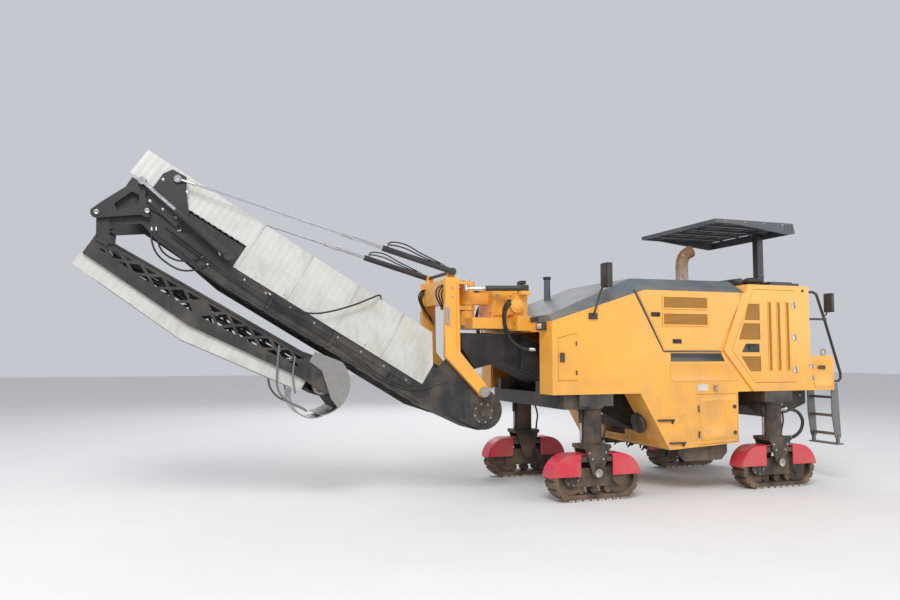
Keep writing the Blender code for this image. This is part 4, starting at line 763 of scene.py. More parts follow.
class PLANER_OT_running_gear(bpy.types.Operator):
    """Shoe bolts, hubs, pins, lift rods and hoses of the four track units"""

    bl_idname = "planer.running_gear"
    bl_label = "Running Gear"

    def execute(self, context):
        for corner, (x, y) in CORNERS.items():
            body = f"track_unit_{corner}"
            out = 1 if y > 0 else -1
            steel_parts, zinc, dark = [], [], []
            for dx in (-0.345, 0.345):
                steel_parts.append(turned_bar(at(x + dx, y + out * 0.061, 0.29),
                                              at(x + dx, y + out * 0.10, 0.29), 0.11, 32,
                                              0.005, 0.03, 0.014))
                ring = [at(x + dx + 0.085 * math.cos(a), y + out * 0.098, 0.29 + 0.085 * math.sin(a))
                        for a in (math.radians(60 * i + 15) for i in range(6))]
                zinc += bolts(ring, (0, out, 0), 0.009)
            zinc.append(turned_bar(at(x, y + out * 0.178, 0.36), at(x, y + out * 0.188, 0.36), 0.055, 28,
                                   0.004, 0.018, 0.006))
            zinc += bolts([at(x + dx, y + out * 0.165, z) for dx,
                           z in ((-0.12, 0.62), (0.12, 0.62), (-0.08, 0.54), (0.08, 0.54))],
                          (0, out, 0), 0.011)
            for dx, dz in ((-0.2, 0.10), (0.0, 0.095), (0.2, 0.10)):
                steel_parts.append(turned_bar(at(x + dx, y - 0.07, dz + 0.04),
                                              at(x + dx, y + 0.07, dz + 0.04), 0.055, 22, 0.006, 0.02, 0.006))
            zinc.append(turned_bar(at(x + 0.155, y, 0.72), at(x + 0.155, y, 1.18), 0.018, 16, 0.003))
            dark.append(turned_bar(at(x + 0.155, y, 1.0), at(x + 0.155, y, 1.185), 0.03, 18, 0.004, 0.006,
                                   0.004))
            free_hose(f"leg_hose_{corner}", [at(x - 0.128, y - out * 0.02, 1.13),
                                             at(x - 0.20, y - out * 0.02, 1.08),
                      at(x - 0.235, y - out * 0.03, 0.94), at(x - 0.215, y - out * 0.04, 0.82),
                      at(x - 0.20, y - out * 0.05, 0.70)], 0.013, body)
            links = [shoe_place(index, x, y) for index in range(SHOES)]
            fit(f"wheels_{corner}", steel_parts, "cast", body)
            fit(f"track_bolts_{corner}", zinc, "zinc", body)
            fit(f"leg_hoses_{corner}", dark, "hose", body)
            first = links[0][0]
            studs = bolts([first + Vector((0, dy, 0)) for dy in (-0.07, 0.07)], (0, 0, -1), 0.009)
            spread = [copied(stud, Matrix.Translation(place) @ turn @ Matrix.Translation(-first))
                      for place, turn in links for stud in studs]
            discard(studs)
            fit(f"shoe_bolts_{corner}", spread, "chain", body)
        return {"FINISHED"}


def shoe_place(index, x, y):
    """Middle of a shoe's flank between two pads and its turn round the loop."""
    height, length, lift = 0.58, 1.27, 0.022
    r, reach = height / 2 - lift, length / 2 - height / 2
    total = 4 * reach + 2 * math.pi * r
    distance = (index * total / SHOES) % total
    if distance < 2 * reach:
        return at(x - reach + distance, y, lift - 0.002), Matrix.Identity(4)
    distance -= 2 * reach
    if distance < math.pi * r:
        a = distance / r
        spot = at(x + reach + (r + 0.002) * math.sin(a), y, height / 2 - (r + 0.002) * math.cos(a))
        return spot, Matrix.Rotation(-a, 4, "Y")
    distance -= math.pi * r
    if distance < 2 * reach:
        return at(x + reach - distance, y, height / 2 + r + 0.002), Matrix.Rotation(math.pi, 4, "Y")
    a = math.pi + (distance - 2 * reach) / r
    spot = at(x - reach + (r + 0.002) * math.sin(a), y, height / 2 - (r + 0.002) * math.cos(a))
    return spot, Matrix.Rotation(-a, 4, "Y")


class PLANER_OT_hood_and_nose(bpy.types.Operator):
    """Work lights, intake, seams and bolts round the hood and the slewing nose"""

    bl_idname = "planer.hood_and_nose"
    bl_label = "Hood and Nose"

    def execute(self, context):
        front = 2.126
        size = context.scene.planer_sizes.bolt
        lamps, lenses = [], []
        for y in (-0.98, 0.98):
            lamps.append(block(at(front + 0.001, y - 0.09, 2.215), at(front + 0.075, y + 0.09, 2.325),
                               0.016, (1, 0, 0), 0.014, 0.012))
            lenses.append(block(at(front + 0.062, y - 0.07, 2.235), at(front + 0.071, y + 0.07, 2.305),
                                0.003, (1, 0, 0), 0.01, -0.003))
        fit("work_lights", lamps, "plastic")
        fit("work_light_lenses", lenses, "lamp")
        caps = [block(at(front + 0.001, -0.82, 2.345), at(front + 0.02, 0.82, 2.395), 0.006, (1, 0, 0),
                      0.012, 0.006)]
        fit("hood_front_trim", caps, "plastic")
        seams = [hose([at(0.70, -0.82, 2.961), at(0.70, 0.82, 2.961)], 0.004, False),
                 hose([at(0.70, -0.82, 2.961), at(-0.94, -0.82, 2.961)], 0.004, False),
                 hose([at(0.70, 0.82, 2.961), at(-0.94, 0.82, 2.961)], 0.004, False)]
        fit("hood_seams", seams, "stripe")
        grip = []
        for x in (0.25, -0.45):
            grip.append(hose([at(x, -0.25, 2.965), at(x, -0.25, 2.995), at(x, 0.05, 2.995),
                              at(x, 0.05, 2.965)], 0.009, False))
        fit("hood_handles", grip, "black")
        rain = [turned_bar(at(1.28, -0.6, 3.055), at(1.28, -0.6, 3.10), 0.06, 24, 0.006, 0.012, 0.01)]
        fit("intake_cap", rain, "plastic")
        ring = [turned_bar(at(-0.32, 0.62, 2.963), at(-0.32, 0.62, 2.985), 0.125, 28, 0.004, 0.026, 0.004)]
        ring += bolts([at(-0.32 + 0.108 * math.cos(a), 0.62 + 0.108 * math.sin(a), 2.985)
                       for a in (math.radians(60 * i) for i in range(6))], (0, 0, 1), 0.009)
        fit("exhaust_flange", ring, "exhaust")
        beam = bolts([at(front + 0.202, y, 2.32) for y in (-0.5, -0.3, 0.3, 0.5)], (1, 0, 0), size)
        beam += bolts([at(2.561, y, z) for y in (-0.2, 0.2) for z in (2.48, 2.72)], (1, 0, 0), size)
        beam += bolts([at(x, 0.261, z) for x in (2.28, 2.48) for z in (2.48, 2.72)], (0, 1, 0), size)
        beam += bolts([at(x, -0.261, z) for x in (2.28, 2.48) for z in (2.48, 2.72)], (0, -1, 0), size)
        fit("bracket_bolts", beam, "zinc")
        cap = [turned_bar(at(2.31, 0.482, 2.56), at(2.31, 0.55, 2.56), 0.095, 32, 0.012, 0.03, -0.01)]
        on_both("round_cap", "yellow", "root", cap)
        box_cover = [block(at(2.24, -0.26, 2.8005), at(2.54, 0.26, 2.83), 0.008, (0, 0, 1), 0.03, -0.012)]
        box_cover.append(block(at(2.22, 0.2605, 2.44), at(2.54, 0.285, 2.66), 0.008, (0, 1, 0), 0.025, 0.006))
        fit("valve_covers", box_cover, "yellow")
        lugs = bolts([at(3.25, s * 0.5565, z) for s in (1,) for z in (2.66, 2.78)], (0, 1, 0), size)
        lugs += [turned_bar(at(2.80, 0.5565, 1.40), at(2.80, 0.585, 1.40), 0.07, 28, 0.005, 0.02, 0.008)]
        lugs += [block(at(3.30, 0.556, 2.30), at(3.35, 0.585, 2.52), 0.006, (0, 1, 0), 0.008, 0.004)]
        on_both("nose_pins", "zinc", "slewing_nose", lugs)
        strip = [block(at(3.17, 0.5565, 2.0), at(3.19, 0.570, 2.86), 0.003, (0, 1, 0), 0.005, 0.002)]
        on_both("nose_straps", "yellow", "slewing_nose", strip)
        top = bolts([at(SLEW, y, z) for SLEW, y,
                     z in [(2.85 + 0.085 * math.cos(a), 0.085 * math.sin(a), 2.9205)
                     for a in (math.radians(60 * i + 30) for i in range(6))]], (0, 0, 1), 0.011)
        top.append(turned_bar(at(2.85, 0, 2.9205), at(2.85, 0, 2.945), 0.06, 24, 0.006, 0.016, 0.006))
        fit("kingpin_cap", top, "zinc", "slewing_nose")
        for side, way in (("left", 1), ("right", -1)):
            for index in range(2):
                out = way * (0.50 + 0.045 * index)
                free_hose(f"bracket_hose_{side}_{index}",
                          [at(2.327, way * 0.46, 2.60 - 0.06 * index), at(2.42, out, 2.63 - 0.05 * index),
                           at(2.49, out, 2.50 - 0.05 * index),
                           at(2.48, out, 2.28), at(2.40, out, 2.10), at(2.26, way * 0.62, 1.98),
                           at(2.12, way * 0.70, 1.96)],
                          context.scene.planer_sizes.hose * 1.4)
            for index in range(3):
                out = way * (0.445 - 0.024 * index)
                free_hose(f"arm_hose_{side}_{index}",
                          [at(3.20 + 0.03 * index, way * 0.462, 2.84), at(3.31 + 0.04 * index, out, 2.80),
                           at(3.37 + 0.03 * index, out, 2.70),
                           at(3.33 + 0.02 * index, out, 2.56), at(3.26 + 0.01 * index, out, 2.46),
                           at(3.19, way * 0.462, 2.40 - 0.03 * index)],
                          context.scene.planer_sizes.hose * 0.8, "slewing_nose")
            for index in range(2):
                rise = 0.09 + 0.05 * index
                free_hose(f"lift_hose_{side}_{index}",
                          [lift_point(0.97, 0.035, way), lift_point(0.90, rise * 0.8, way),
                           lift_point(0.72, rise, way), lift_point(0.5, rise * 0.7, way),
                           lift_point(0.3, rise * 0.5, way), lift_point(0.16 - 0.05 * index, 0.04, way)],
                           0.009, "luff_barrels")
        return {"FINISHED"}


def lift_point(reach, off, way):
    """A place beside a boom lift cylinder, measured from its base along its barrel."""
    base, pin = Vector((3.24, way * 0.527, 3.0)), boom(4.69, 0.20)
    run = math.atan2(pin.z - base.z, pin.x - SHIFT - base.x)
    return at(base.x + reach * math.cos(run) - off * math.sin(run), base.y,
              base.z + reach * math.sin(run) + off * math.cos(run))


class PLANER_OT_boom(bpy.types.Operator):
    """Reflectors, bolts, cleats, clamps, roller guards and lines along the conveyor boom"""

    bl_idname = "planer.boom"
    bl_label = "Conveyor Boom"

    def execute(self, context):
        size = context.scene.planer_sizes.bolt
        turn = Matrix.Rotation(-PITCH, 4, "Y")

        def on_boom(u, y, v):
            return Vector((u, y, v))

        def local(pieces):
            """From the boom's own plane to its place."""
            for piece in pieces:
                piece.data.transform(Matrix.Translation(boom(0, 0)) @ turn)
            return pieces

        y = 0.4605
        rail = [block((u0, y, -0.44), (u1, y + 0.010, -0.36), 0.003, (0, 1, 0), 0.01, 0.003) for u0,
                u1 in ((0.9, 3.5),)]
        low = [block((0.7, y, -0.575), (3.5, y + 0.012, -0.50), 0.003, (0, 1, 0), 0.012, 0.004)]
        on_both("boom_rails", "black", "boom_inner", local(rail + low))
        studs = bolts([(u, y + 0.010, -0.40) for u in (1.0, 1.35, 1.7, 2.05, 2.4, 2.75, 3.1, 3.4)],
                      (0, 1, 0), size * 0.8)
        studs += bolts([(u, 0.4735, -0.30) for u in (0.9, 1.3, 1.7, 2.1, 2.5, 2.9, 3.3, 3.55)], (0, 1, 0),
                       size * 0.6)
        studs += bolts([(u, 0.5055, v) for u,
                        v in ((4.52, 0.13), (4.82, 0.10), (4.46, -0.2), (4.80, -0.2), (4.63, -0.2))],
                        (0, 1, 0), size)
        on_both("boom_bolts", "zinc", "boom_inner", local(studs))
        brackets = [block((u - 0.02, y + 0.01, -0.56), (u + 0.02, y + 0.03, -0.35), 0.004, (0, 1, 0), 0.006,
                          0.003) for u in (1.2, 2.1, 3.0)]
        on_both("boom_stiffeners", "black", "boom_inner", local(brackets))
        disc = [turned_bar((-0.16, y, -0.24), (-0.16, y + 0.02, -0.24), 0.15, 36, 0.005, 0.035, 0.008),
                turned_bar((-0.16, y + 0.012, -0.24), (-0.16, y + 0.045, -0.24), 0.045, 24, 0.006, 0.012,
                           0.004)]
        on_both("tail_bearing", "black", "boom_inner", local(disc))
        ring = bolts([(-0.16 + 0.125 * math.cos(a), y + 0.021, -0.24 + 0.125 * math.sin(a))
                      for a in (math.radians(45 * i) for i in range(8))],
                     (0, 1, 0), size * 0.75)
        on_both("tail_bearing_bolts", "zinc", "boom_inner", local(ring))
        ribs = []
        for u in (1.45, 2.15, 2.85, 3.55):
            ribs.append(hose([(u, 0.4735, -0.33), (u, 0.4735, -0.05), (u, 0.376, 0.334), (u, -0.376, 0.334),
                              (u, -0.4735, -0.05), (u, -0.4735, -0.33)],
                             0.010, False))
        fit("cover_hoops", local(ribs), "cover", "boom_inner")
        cleats = []
        count = context.scene.planer_sizes.cleats
        first = sheet([(-0.30, 0.0), (0.0, 0.09), (0.30, 0.0), (0.30, -0.022), (0.0, 0.068),
                       (-0.30, -0.022)], 0.0, 0.018, "XY", 0.004, place=on_boom)
        first.data.transform(Matrix.Rotation(math.radians(90), 4, "Z"))
        flipped = Matrix.Rotation(math.pi, 4, "X")
        for index in range(count):
            share = index / (count - 1)
            cleats.append(copied(first, Matrix.Translation((3.72 + 1.05 * share, 0, -0.019))))
            cleats.append(copied(first, Matrix.Translation((0.45 + 3.0 * share, 0, -0.546)) @ flipped))
        discard([first])
        fit("belt_cleats", local(cleats), "belt", "boom_inner")
        line = [hose([(u, s * 0.478, v) for u,
                      v in ((0.5, -0.15), (0.9, -0.455), (2.0, -0.47), (3.4, -0.465), (4.1, -0.40),
                            (4.5, -0.36))], 0.010)
                for s in (1,)]
        line += [hose([(u, s * 0.492, v) for u,
                       v in ((0.5, -0.12), (0.9, -0.48), (2.0, -0.492), (3.4, -0.485), (4.1, -0.43),
                             (4.4, -0.40))], 0.009)
                 for s in (1,)]
        fit("boom_pipes", local(line), "black", "boom_inner")
        for index, knots in enumerate((
            [(3.067, 0.462, -0.38), (2.95, 0.54, -0.42), (2.75, 0.57, -0.42), (2.5, 0.58, -0.33),
             (2.3, 0.58, -0.17), (2.1, 0.56, 0.05),
             (1.95, 0.50, 0.25), (1.86, 0.41, 0.36), (1.80, 0.36, 0.335)],
            [(3.95, 0.462, -0.42), (4.03, 0.50, -0.53), (4.18, 0.51, -0.63), (4.36, 0.51, -0.63),
             (4.50, 0.50, -0.53), (4.58, 0.462, -0.42)],
            [(3.85, 0.462, -0.45), (3.93, 0.50, -0.60), (4.10, 0.505, -0.71), (4.36, 0.505, -0.70),
             (4.52, 0.50, -0.60), (4.62, 0.462, -0.45)],
            [(3.80, 0.462, -0.30), (3.92, 0.51, -0.22), (4.08, 0.52, -0.20), (4.25, 0.51, -0.24),
             (4.36, 0.462, -0.32)],
        )):
            free_hose(f"boom_hose_{index}", [boom(u, v, y) for u, y, v in knots], 0.011, "boom_inner")
        for index in range(3):
            y = 0.30 + 0.045 * index
            free_hose(f"outer_hose_{index}",
                      [boom(u, v - 0.012 * index, 0.41 if u in (4.85, 2.4) else y)
                       for u, v in ((4.85, -0.92), (4.72, -0.955), (4.5, -0.97), (4.2, -0.945),
                                    (4.0, -0.93), (3.7, -0.965),
                                    (3.4, -0.96), (3.1, -0.93), (2.8, -0.955), (2.55, -0.95),
                                    (2.4, -0.92))], 0.012, "boom_outer")
        marks = [block((u0, y + 0.004, -0.83), (u1, y + 0.008, -0.80), 0.001, (0, 1, 0), 0.004, 0.0008)
                 for u0, u1 in ((2.02, 2.24),)]
        fit("reflector_left", local(marks), "reflector", "boom_outer")
        strip = [sheet([(5.08, -1.115), (3.65, -1.215), (2.2, -1.075), (2.2, -1.045), (3.65, -1.185),
                        (5.08, -1.085)], y, y + 0.006, "XZ", 0.002, place=on_boom)]
        on_both("outer_edge_strip", "cover", "boom_outer", local(strip))
        pins = bolts([(u, y + 0.0065, v) for u,
                      v in ((4.9, -1.11), (4.5, -1.135), (4.1, -1.16), (3.7, -1.195), (3.3, -1.165),
                            (2.9, -1.125), (2.5, -1.09))],
                     (0, 1, 0), size * 0.7)
        on_both("outer_bolts", "zinc", "boom_outer", local(pins))
        clamps = []
        for u, v in ((4.68, -1.12), (2.82, -1.14), (3.75, -1.20)):
            clamps.append(block((u - 0.035, y + 0.004, v - 0.05), (u + 0.035, y + 0.024, v + 0.11), 0.006,
                                (0, 1, 0), 0.012, 0.006))
        on_both("outer_clamps", "black", "boom_outer", local(clamps))
        pipes = [hose([(u, 0.4715, v) for u,
                       v in ((4.95, -0.845), (4.4, -0.835), (3.65, -0.825), (2.9, -0.81), (2.25, -0.80))],
                       0.009)]
        fit("outer_pipes", local(pipes), "black", "boom_outer")
        bars = []
        for s in (1, -1):
            bars.append(hose([(2.62, s * 0.463, -0.86), (2.50, s * 0.485, -1.10), (2.30, s * 0.478, -1.36),
                              (1.9, s * 0.478, -1.38)], 0.014))
            bars.append(hose([(2.38, s * 0.463, -0.88), (2.28, s * 0.485, -1.1), (2.14, s * 0.478, -1.27)],
                             0.012))
        bars.append(hose([(1.95, -0.478, -1.375), (1.95, 0.478, -1.375)], 0.014, False))
        fit("head_guard_bars", local(bars), "grey", "boom_outer")
        hub = [turned_bar((1.90, y + 0.013, -1.02), (1.90, y + 0.034, -1.02), 0.115, 32, 0.006, 0.03, 0.008)]
        on_both("head_bearing", "grey", "boom_outer", local(hub))
        hubbolts = bolts([(1.90 + 0.085 * math.cos(a), y + 0.035, -1.02 + 0.085 * math.sin(a))
                          for a in (math.radians(60 * i) for i in range(6))],
                         (0, 1, 0), size * 0.7)
        on_both("head_bearing_bolts", "zinc", "boom_outer", local(hubbolts))
        crank = []
        for u, v in ((4.76, -0.32), (4.99, -0.06), (5.20, -0.64)):
            crank.append(turned_bar((u, 0.5555, v), (u, 0.562, v), 0.028, 24, 0.002, 0.008, 0.002))
        on_both("crank_pins", "zinc", "fold_crank_body", local(crank))
        return {"FINISHED"}


class PLANER_OT_operator_place(bpy.types.Operator):
    """Canopy ribs and slots, console buttons, levers, dials and the deck's tread"""

    bl_idname = "planer.operator_place"
    bl_label = "Operator's Place"

    def execute(self, context):
        size = context.scene.planer_sizes.bolt
        # Painted shade: thin black sheets on the canopy's sides stand in for the shade inside its slots.
        slots = [sheet([(x, 3.855), (x - 0.03, 3.855), (x - 0.05, 3.735), (x - 0.02, 3.735)], 0.9503, 0.953,
                       "XZ", 0.0006, (0.006, 0.001))
                 for x in (-1.93, -1.99, -2.05)]
        on_both("canopy_slot_shade", "stripe", "root", slots)
        ribs = [block(at(-1.98, y - 0.012, 3.835), at(-0.80, y + 0.012, 3.8475), 0.004, (0, 0, -1), 0.004,
                      0.002)
                for y in (-0.8, -0.4, 0.0, 0.4, 0.8)]
        ribs += [block(at(x - 0.012, -0.88, 3.83), at(x + 0.012, 0.88, 3.8475), 0.004, (0, 0, -1), 0.004,
                       0.002) for x in (-0.95, -1.35, -1.75)]
        fit("canopy_ribs", ribs, "canopy")
        creases = [hose([at(-0.72, y, 3.879), at(-2.06, y, 3.879)], 0.005, False)
                   for y in (-0.7, -0.35, 0.0, 0.35, 0.7)]
        fit("canopy_creases", creases, "canopy")
        fit("canopy_bolts", bolts([at(x, 0.9505, 3.85) for x in (-0.85, -1.2, -1.55, -1.9)], (0, 1, 0),
                                  size * 0.6), "zinc")
        # Painted shade: black discs on the post stand in for the shade inside its holes.
        hole_shade = [turned_bar(at(-2.0, 0.3552, z), at(-2.0, 0.358, z), 0.014, 18, 0.001, 0.004, 0.002)
                 for z in (2.3, 2.6, 2.9, 3.2, 3.5)]
        fit("post_hole_shade", hole_shade, "stripe")
        foot = bolts([at(-2.0 + dx, 0.3 + dy, 1.908) for dx in (-0.09, 0.09) for dy in (-0.09, 0.09)],
                     (0, 0, 1), size)
        fit("post_foot_bolts", foot, "zinc")
        panels, knobs, dials = [], [], []
        for s in (1, -1):
            panels.append(block(at(-1.95, s * 0.85 - 0.2, 2.9485), at(-1.55, s * 0.85 + 0.2, 2.968), 0.008,
                                (0, 0, 1), 0.02, 0.006))
            for index in range(6):
                x, y = -1.9 + 0.12 * (index % 3), s * (0.78 + 0.1 * (index // 3))
                knobs.append(turned_bar(at(x, y, 2.963), at(x, y, 2.985), 0.014, 16, 0.003, 0.004, 0.002))
            knobs.append(turned_bar(at(-1.62, s * 0.82, 2.96), at(-1.62, s * 0.82, 3.07), 0.008, 12, 0.002,
                                    tip=0.006))
            knobs.append(turned_bar(at(-1.62, s * 0.82, 3.05), at(-1.62, s * 0.82, 3.10), 0.02, 20, 0.008,
                                    0.006, -0.006))
        panels.append(block(at(-1.56, -0.42, 2.90), at(-1.34, 0.42, 2.99), 0.01, (0, 0, 1), 0.02, -0.02))
        for index in range(4):
            y = -0.3 + 0.2 * index
            dials.append(turned_bar(at(-1.45, y, 3.005), at(-1.45, y, 3.022), 0.042, 28, 0.004, 0.008, 0.006))
        fit("console_panels", panels, "plastic")
        fit("console_knobs", knobs, "grey")
        fit("console_dials", dials, "lamp")
        tread = []
        for ix in range(8):
            for iy in range(12):
                tread.append((ix, iy))
        first = block(at(-2.45, -0.70, 1.8785), at(-2.40, -0.69, 1.882), 0.001, (0, 0, 1), 0.002, -0.001, 1)
        lots = copies(first, [(0.055 * ix, 0.118 * iy, 0) for ix, iy in tread[1:]])
        fit("deck_tread", lots, "yellow")
        return {"FINISHED"}


class PLANER_OT_mirrors_and_rear(bpy.types.Operator):
    """Mirror glass, rear mirror, rail flanges, rear box hinges, lifting ring, tail lamps and ladder treads"""

    bl_idname = "planer.mirrors_and_rear"
    bl_label = "Mirrors and Rear"

    def execute(self, context):
        size = context.scene.planer_sizes.bolt
        back, y = -2.516, SIDE + 0.0004
        glass = [block(at(1.322, SIDE + 0.05, 2.80), at(1.3296, SIDE + 0.16, 3.08), 0.002, (-1, 0, 0),
                       0.008, 0.002)]
        on_both("mirror_glass", "mirror", "root", glass)
        shell = [block(at(1.4105, SIDE + 0.045, 2.79), at(1.435, SIDE + 0.165, 3.09), 0.012, (1, 0, 0),
                       0.02, -0.006)]
        on_both("mirror_back", "plastic", "root", shell)
        low = []
        for z in (1.73, 1.56):
            low.append(turned_bar(at(-2.12, y + 0.008, z - 0.03), at(-2.12, y + 0.008, z + 0.03), 0.009, 14,
                                  0.002))
            low.append(block(at(-2.11, y, z - 0.025), at(-2.06, y + 0.006, z + 0.025), 0.002, (0, 1, 0),
                             0.005, 0.001))
        on_both("step_box_hinges", "zinc", "root", low)
        lid = [sheet([(-2.14, 1.84), (-2.49, 1.84), (-2.49, 1.42), (-2.14, 1.42)], y, y + 0.006, "XZ",
                     0.003, (0.025, 0.003))]
        on_both("step_box_lid", "yellow", "root", lid)
        grip = [block(at(-2.34, y + 0.006, 1.68), at(-2.22, y + 0.022, 1.735), 0.006, (0, 1, 0), 0.012,
                      0.008)]
        on_both("step_box_handle", "plastic", "root", grip)
        fresh()
        bpy.ops.mesh.primitive_torus_add(major_radius=0.045, minor_radius=0.011, major_segments=32,
                                         minor_segments=12,
                                         location=at(-2.42, 1.13, 1.932), rotation=(math.radians(90), 0, 0))
        ring = settle(bpy.context.active_object)
        pick(ring, lambda part: part.calc_center_median().z < 1.90)
        bpy.ops.transform.translate(value=(0, 0, -0.004))
        bpy.ops.object.mode_set(mode="OBJECT")
        on_both("lifting_ring", "exhaust", "root", [ring])
        locks = [turned_bar(at(-1.973, y, 2.827), at(-1.973, y + 0.008, 2.827), 0.02, 20, 0.002, 0.006,
                            0.004)]
        on_both("block_locks", "plastic", "root", locks)
        tail = []
        for s in (1, -1):
            tail.append(block(at(back - 0.045, s * 0.45 - 0.07, 1.55),
                              at(back - 0.0005, s * 0.45 + 0.07, 1.66), 0.012, (-1, 0, 0), 0.012, 0.006))
        fit("tail_lamp_housings", tail, "plastic")
        red = [block(at(back - 0.047, s * 0.45 - 0.055, 1.565), at(back - 0.038, s * 0.45 + 0.055, 1.645),
                     0.003, (-1, 0, 0), 0.01, -0.003) for s in (1, -1)]
        fit("tail_lamp_lenses", red, "red")
        door = [sheet([(-0.62, 1.42), (0.30, 1.42), (0.30, 1.82), (-0.62, 1.82)], back - 0.0005,
                      back - 0.007, "YZ", 0.003, (0.03, 0.003))]
        fit("rear_hatch", door, "yellow")
        rail = []
        for s in (1, -1):
            for z, x in ((2.82, -2.088), (2.42, -2.088)):
                rail.append(turned_bar(at(x, s * 1.175, z), at(x - 0.012, s * 1.175, z), 0.04, 24, 0.003,
                                       0.012, -0.004))
            rail.append(turned_bar(at(back - 0.002, s * 1.175, 1.50), at(back - 0.014, s * 1.175, 1.50),
                                   0.04, 24, 0.003, 0.012, -0.004))
            rail.append(turned_bar(at(-2.42, s * 1.175, 2.40), at(-2.42, s * 1.175, 2.44), 0.03, 20, 0.004))
        fit("rail_flanges", rail, "black")
        arm = [hose([at(-2.40, 1.19, 2.47), at(-2.42, 1.22, 2.50), at(-2.40, 1.24, 2.54)], 0.01)]
        arm.append(block(at(-2.44, 1.20, 2.52), at(-2.39, 1.35, 2.80), 0.014, (-1, 0, 0), 0.014, 0.004))
        fit("rear_mirror", arm, "plastic")
        treads = []
        for index in range(3):
            z = 0.70 + 0.27 * index
            bar = [block(at(-2.645 + 0.03 * k, 0.715, z + 0.0255), at(-2.635 + 0.03 * k, 1.145, z + 0.031),
                         0.001, (0, 0, 1), 0.002, -0.001) for k in range(3)]
            treads += bar
        fit("ladder_treads", treads, "grey")
        under = [block(at(-2.30, s * 0.5 - 0.13, 1.135), at(-2.05, s * 0.5 + 0.13, 1.18), 0.01, (0, 0, -1),
                       0.02, 0.006) for s in (1, -1)]
        free_hose("rear_hose_loop", [at(-1.615, 1.10, 1.10), at(-1.72, 1.12, 1.11), at(-1.90, 1.13, 1.06),
                                     at(-1.99, 1.13, 0.93),
                  at(-1.96, 1.12, 0.79), at(-1.85, 1.10, 0.70), at(-1.70, 1.09, 0.685)], 0.024,
                  "track_unit_rear_left")
        fit("rear_box_plates", under, "black")
        fit("rear_box_bolts", bolts([at(x, 0.821, z) for x,
                                     z in ((-2.25, 1.28), (-2.0, 1.25), (-1.7, 1.15), (-1.5, 1.2),
                                           (-1.9, 1.15))], (0, 1, 0), size), "zinc")
        return {"FINISHED"}


class PLANER_OT_drum(bpy.types.Operator):
    """Pick tips, side plate skids and the scraper's bolts"""

    bl_idname = "planer.drum"
    bl_label = "Drum"

    def execute(self, context):
        x0, z0 = -0.2, 0.86
        tips = []
        rows, left, right = 16, 0.17, -1.10
        for row in range(rows):
            y = right + 0.05 + (left - right - 0.1) * row / (rows - 1)
            for start in range(2):
                a = math.radians(180 * start + 36 * (row if y < (left + right) / 2 else rows - row))
                way = Vector((math.cos(a + 0.12), 0, math.sin(a + 0.12)))
                seat = at(x0, y, z0) + Vector((math.cos(a), 0, math.sin(a))) * 0.368
                tips.append((seat, way))
        first = turned_bar((0, 0, 0), (0, 0, 0.035), 0.045, 8, 0.006, 0.012, -0.01, tip=0.03)
        made = [copied(first, Matrix.Translation(seat) @ way.to_track_quat("Z", "Y").to_matrix().to_4x4())
                for seat, way in tips]
        discard([first])
        fit("pick_blocks", made, "cast", "milling_drum_body")
        spiral = [hose([at(x0 + 0.373 * math.cos(a), y, z0 + 0.373 * math.sin(a))
                        for y, a in ((right + 0.03 + 0.6 * k / 24, math.radians(36 * 7.6 * k / 24 + s))
                                     for k in range(25))], 0.009)
                  for s in (0, 180)]
        fit("drum_flights", spiral, "chain", "milling_drum_body")
        for side, y in (("left", 1.11), ("right", -1.17)):
            low = block(at(-0.53, y - 0.013, 0.4302), at(0.05, y + 0.013, 0.447), 0.004, (0, 0, -1), 0.006,
                        -0.0)
            low.data.transform(Matrix.Translation((0, 0, 0)))
            fit(f"skid_{side}", low, "chain", f"side_plate_{side}_body")
        studs = bolts([at(-0.7528, yy, 0.60) for yy in (-0.6, -0.3, 0.0)], (-1, 0, 0), 0.012)
        fit("scraper_bolts", studs, "zinc", "scraper")
        return {"FINISHED"}


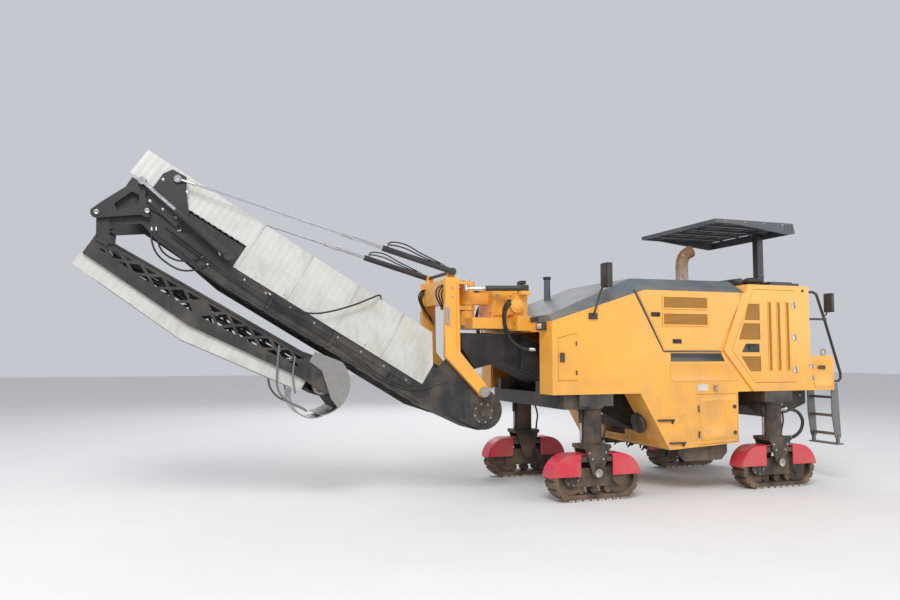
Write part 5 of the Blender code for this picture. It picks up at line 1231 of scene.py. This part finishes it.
class PLANER_OT_studio(bpy.types.Operator):
    """Floor, backdrop, soft lights and the camera"""

    bl_idname = "planer.studio"
    bl_label = "Studio"

    def execute(self, context):
        fresh()
        bpy.ops.mesh.primitive_plane_add(size=120, location=(0, 0, -0.002))
        floor = bpy.context.active_object
        pick(floor, lambda part: True)
        bpy.ops.mesh.subdivide(number_cuts=3)
        bpy.ops.object.mode_set(mode="OBJECT")
        floor.name = "floor"
        floor.data.materials.append(concrete("pale floor").material)
        world = context.scene.world or bpy.data.worlds.new("studio")
        context.scene.world = world
        world.use_nodes = True
        world.node_tree.nodes["Background"].inputs[0].default_value = (0.90, 0.93, 1.0, 1)
        world.node_tree.nodes["Background"].inputs[1].default_value = 0.62
        for name, place, aim, size, power in (
            ("key", (6, 13, 14), (0, 0, 1.5), 7, 2000),
            ("fill", (-12, 10, 6), (-1, 0, 1.5), 9, 600),
            ("front", (15, 2, 7), (3, 0, 2.0), 7, 500),
            ("back", (-4, -14, 10), (0, 0, 1.5), 9, 700),
        ):
            bpy.ops.object.light_add(type="AREA", location=place)
            light = bpy.context.active_object
            light.name = name
            light.data.size, light.data.energy = size, power
            light.rotation_euler = (Vector(place) - Vector(aim)).to_track_quat("Z", "Y").to_euler()
        bpy.ops.object.camera_add(location=at(6.629, 10.073, 1.904),
                                  rotation=(math.radians(94.04), 0, math.radians(-199.35)))
        camera = bpy.context.active_object
        camera.data.lens = context.scene.planer_sizes.lens
        camera.data.sensor_width = 36
        context.scene.camera = camera
        context.scene.view_settings.view_transform = "Standard"
        return {"FINISHED"}


PIECES = (PLANER_OT_paint, PLANER_OT_engine_doors, PLANER_OT_rear_doors, PLANER_OT_small_doors,
          PLANER_OT_running_gear,
          PLANER_OT_hood_and_nose, PLANER_OT_boom, PLANER_OT_operator_place, PLANER_OT_mirrors_and_rear,
          PLANER_OT_drum,
          PLANER_OT_studio)


class PLANER_PT_panel(bpy.types.Panel):
    """Lists the planer's settings and its pieces"""

    bl_idname = "PLANER_PT_panel"
    bl_label = "Cold Planer"
    bl_space_type = "VIEW_3D"
    bl_region_type = "UI"
    bl_category = "Planer"

    def draw(self, context):
        for group in (context.scene.planer_colors, context.scene.planer_sizes):
            for name in group.bl_rna.properties.keys():
                if name not in ("rna_type", "name"):
                    self.layout.prop(group, name)
        for piece in PIECES:
            self.layout.operator(piece.bl_idname)


CLASSES = (PlanerColors, PlanerSizes, *PIECES, PLANER_PT_panel)


def register():
    for each in CLASSES:
        bpy.utils.register_class(each)
    bpy.types.Scene.planer_colors = PointerProperty(type=PlanerColors)
    bpy.types.Scene.planer_sizes = PointerProperty(type=PlanerSizes)


def unregister():
    del bpy.types.Scene.planer_sizes
    del bpy.types.Scene.planer_colors
    for each in reversed(CLASSES):
        bpy.utils.unregister_class(each)


def main():
    register()
    for piece in PIECES:
        group, name = piece.bl_idname.split(".")
        getattr(getattr(bpy.ops, group), name)()


if __name__ == "__main__":
    main()
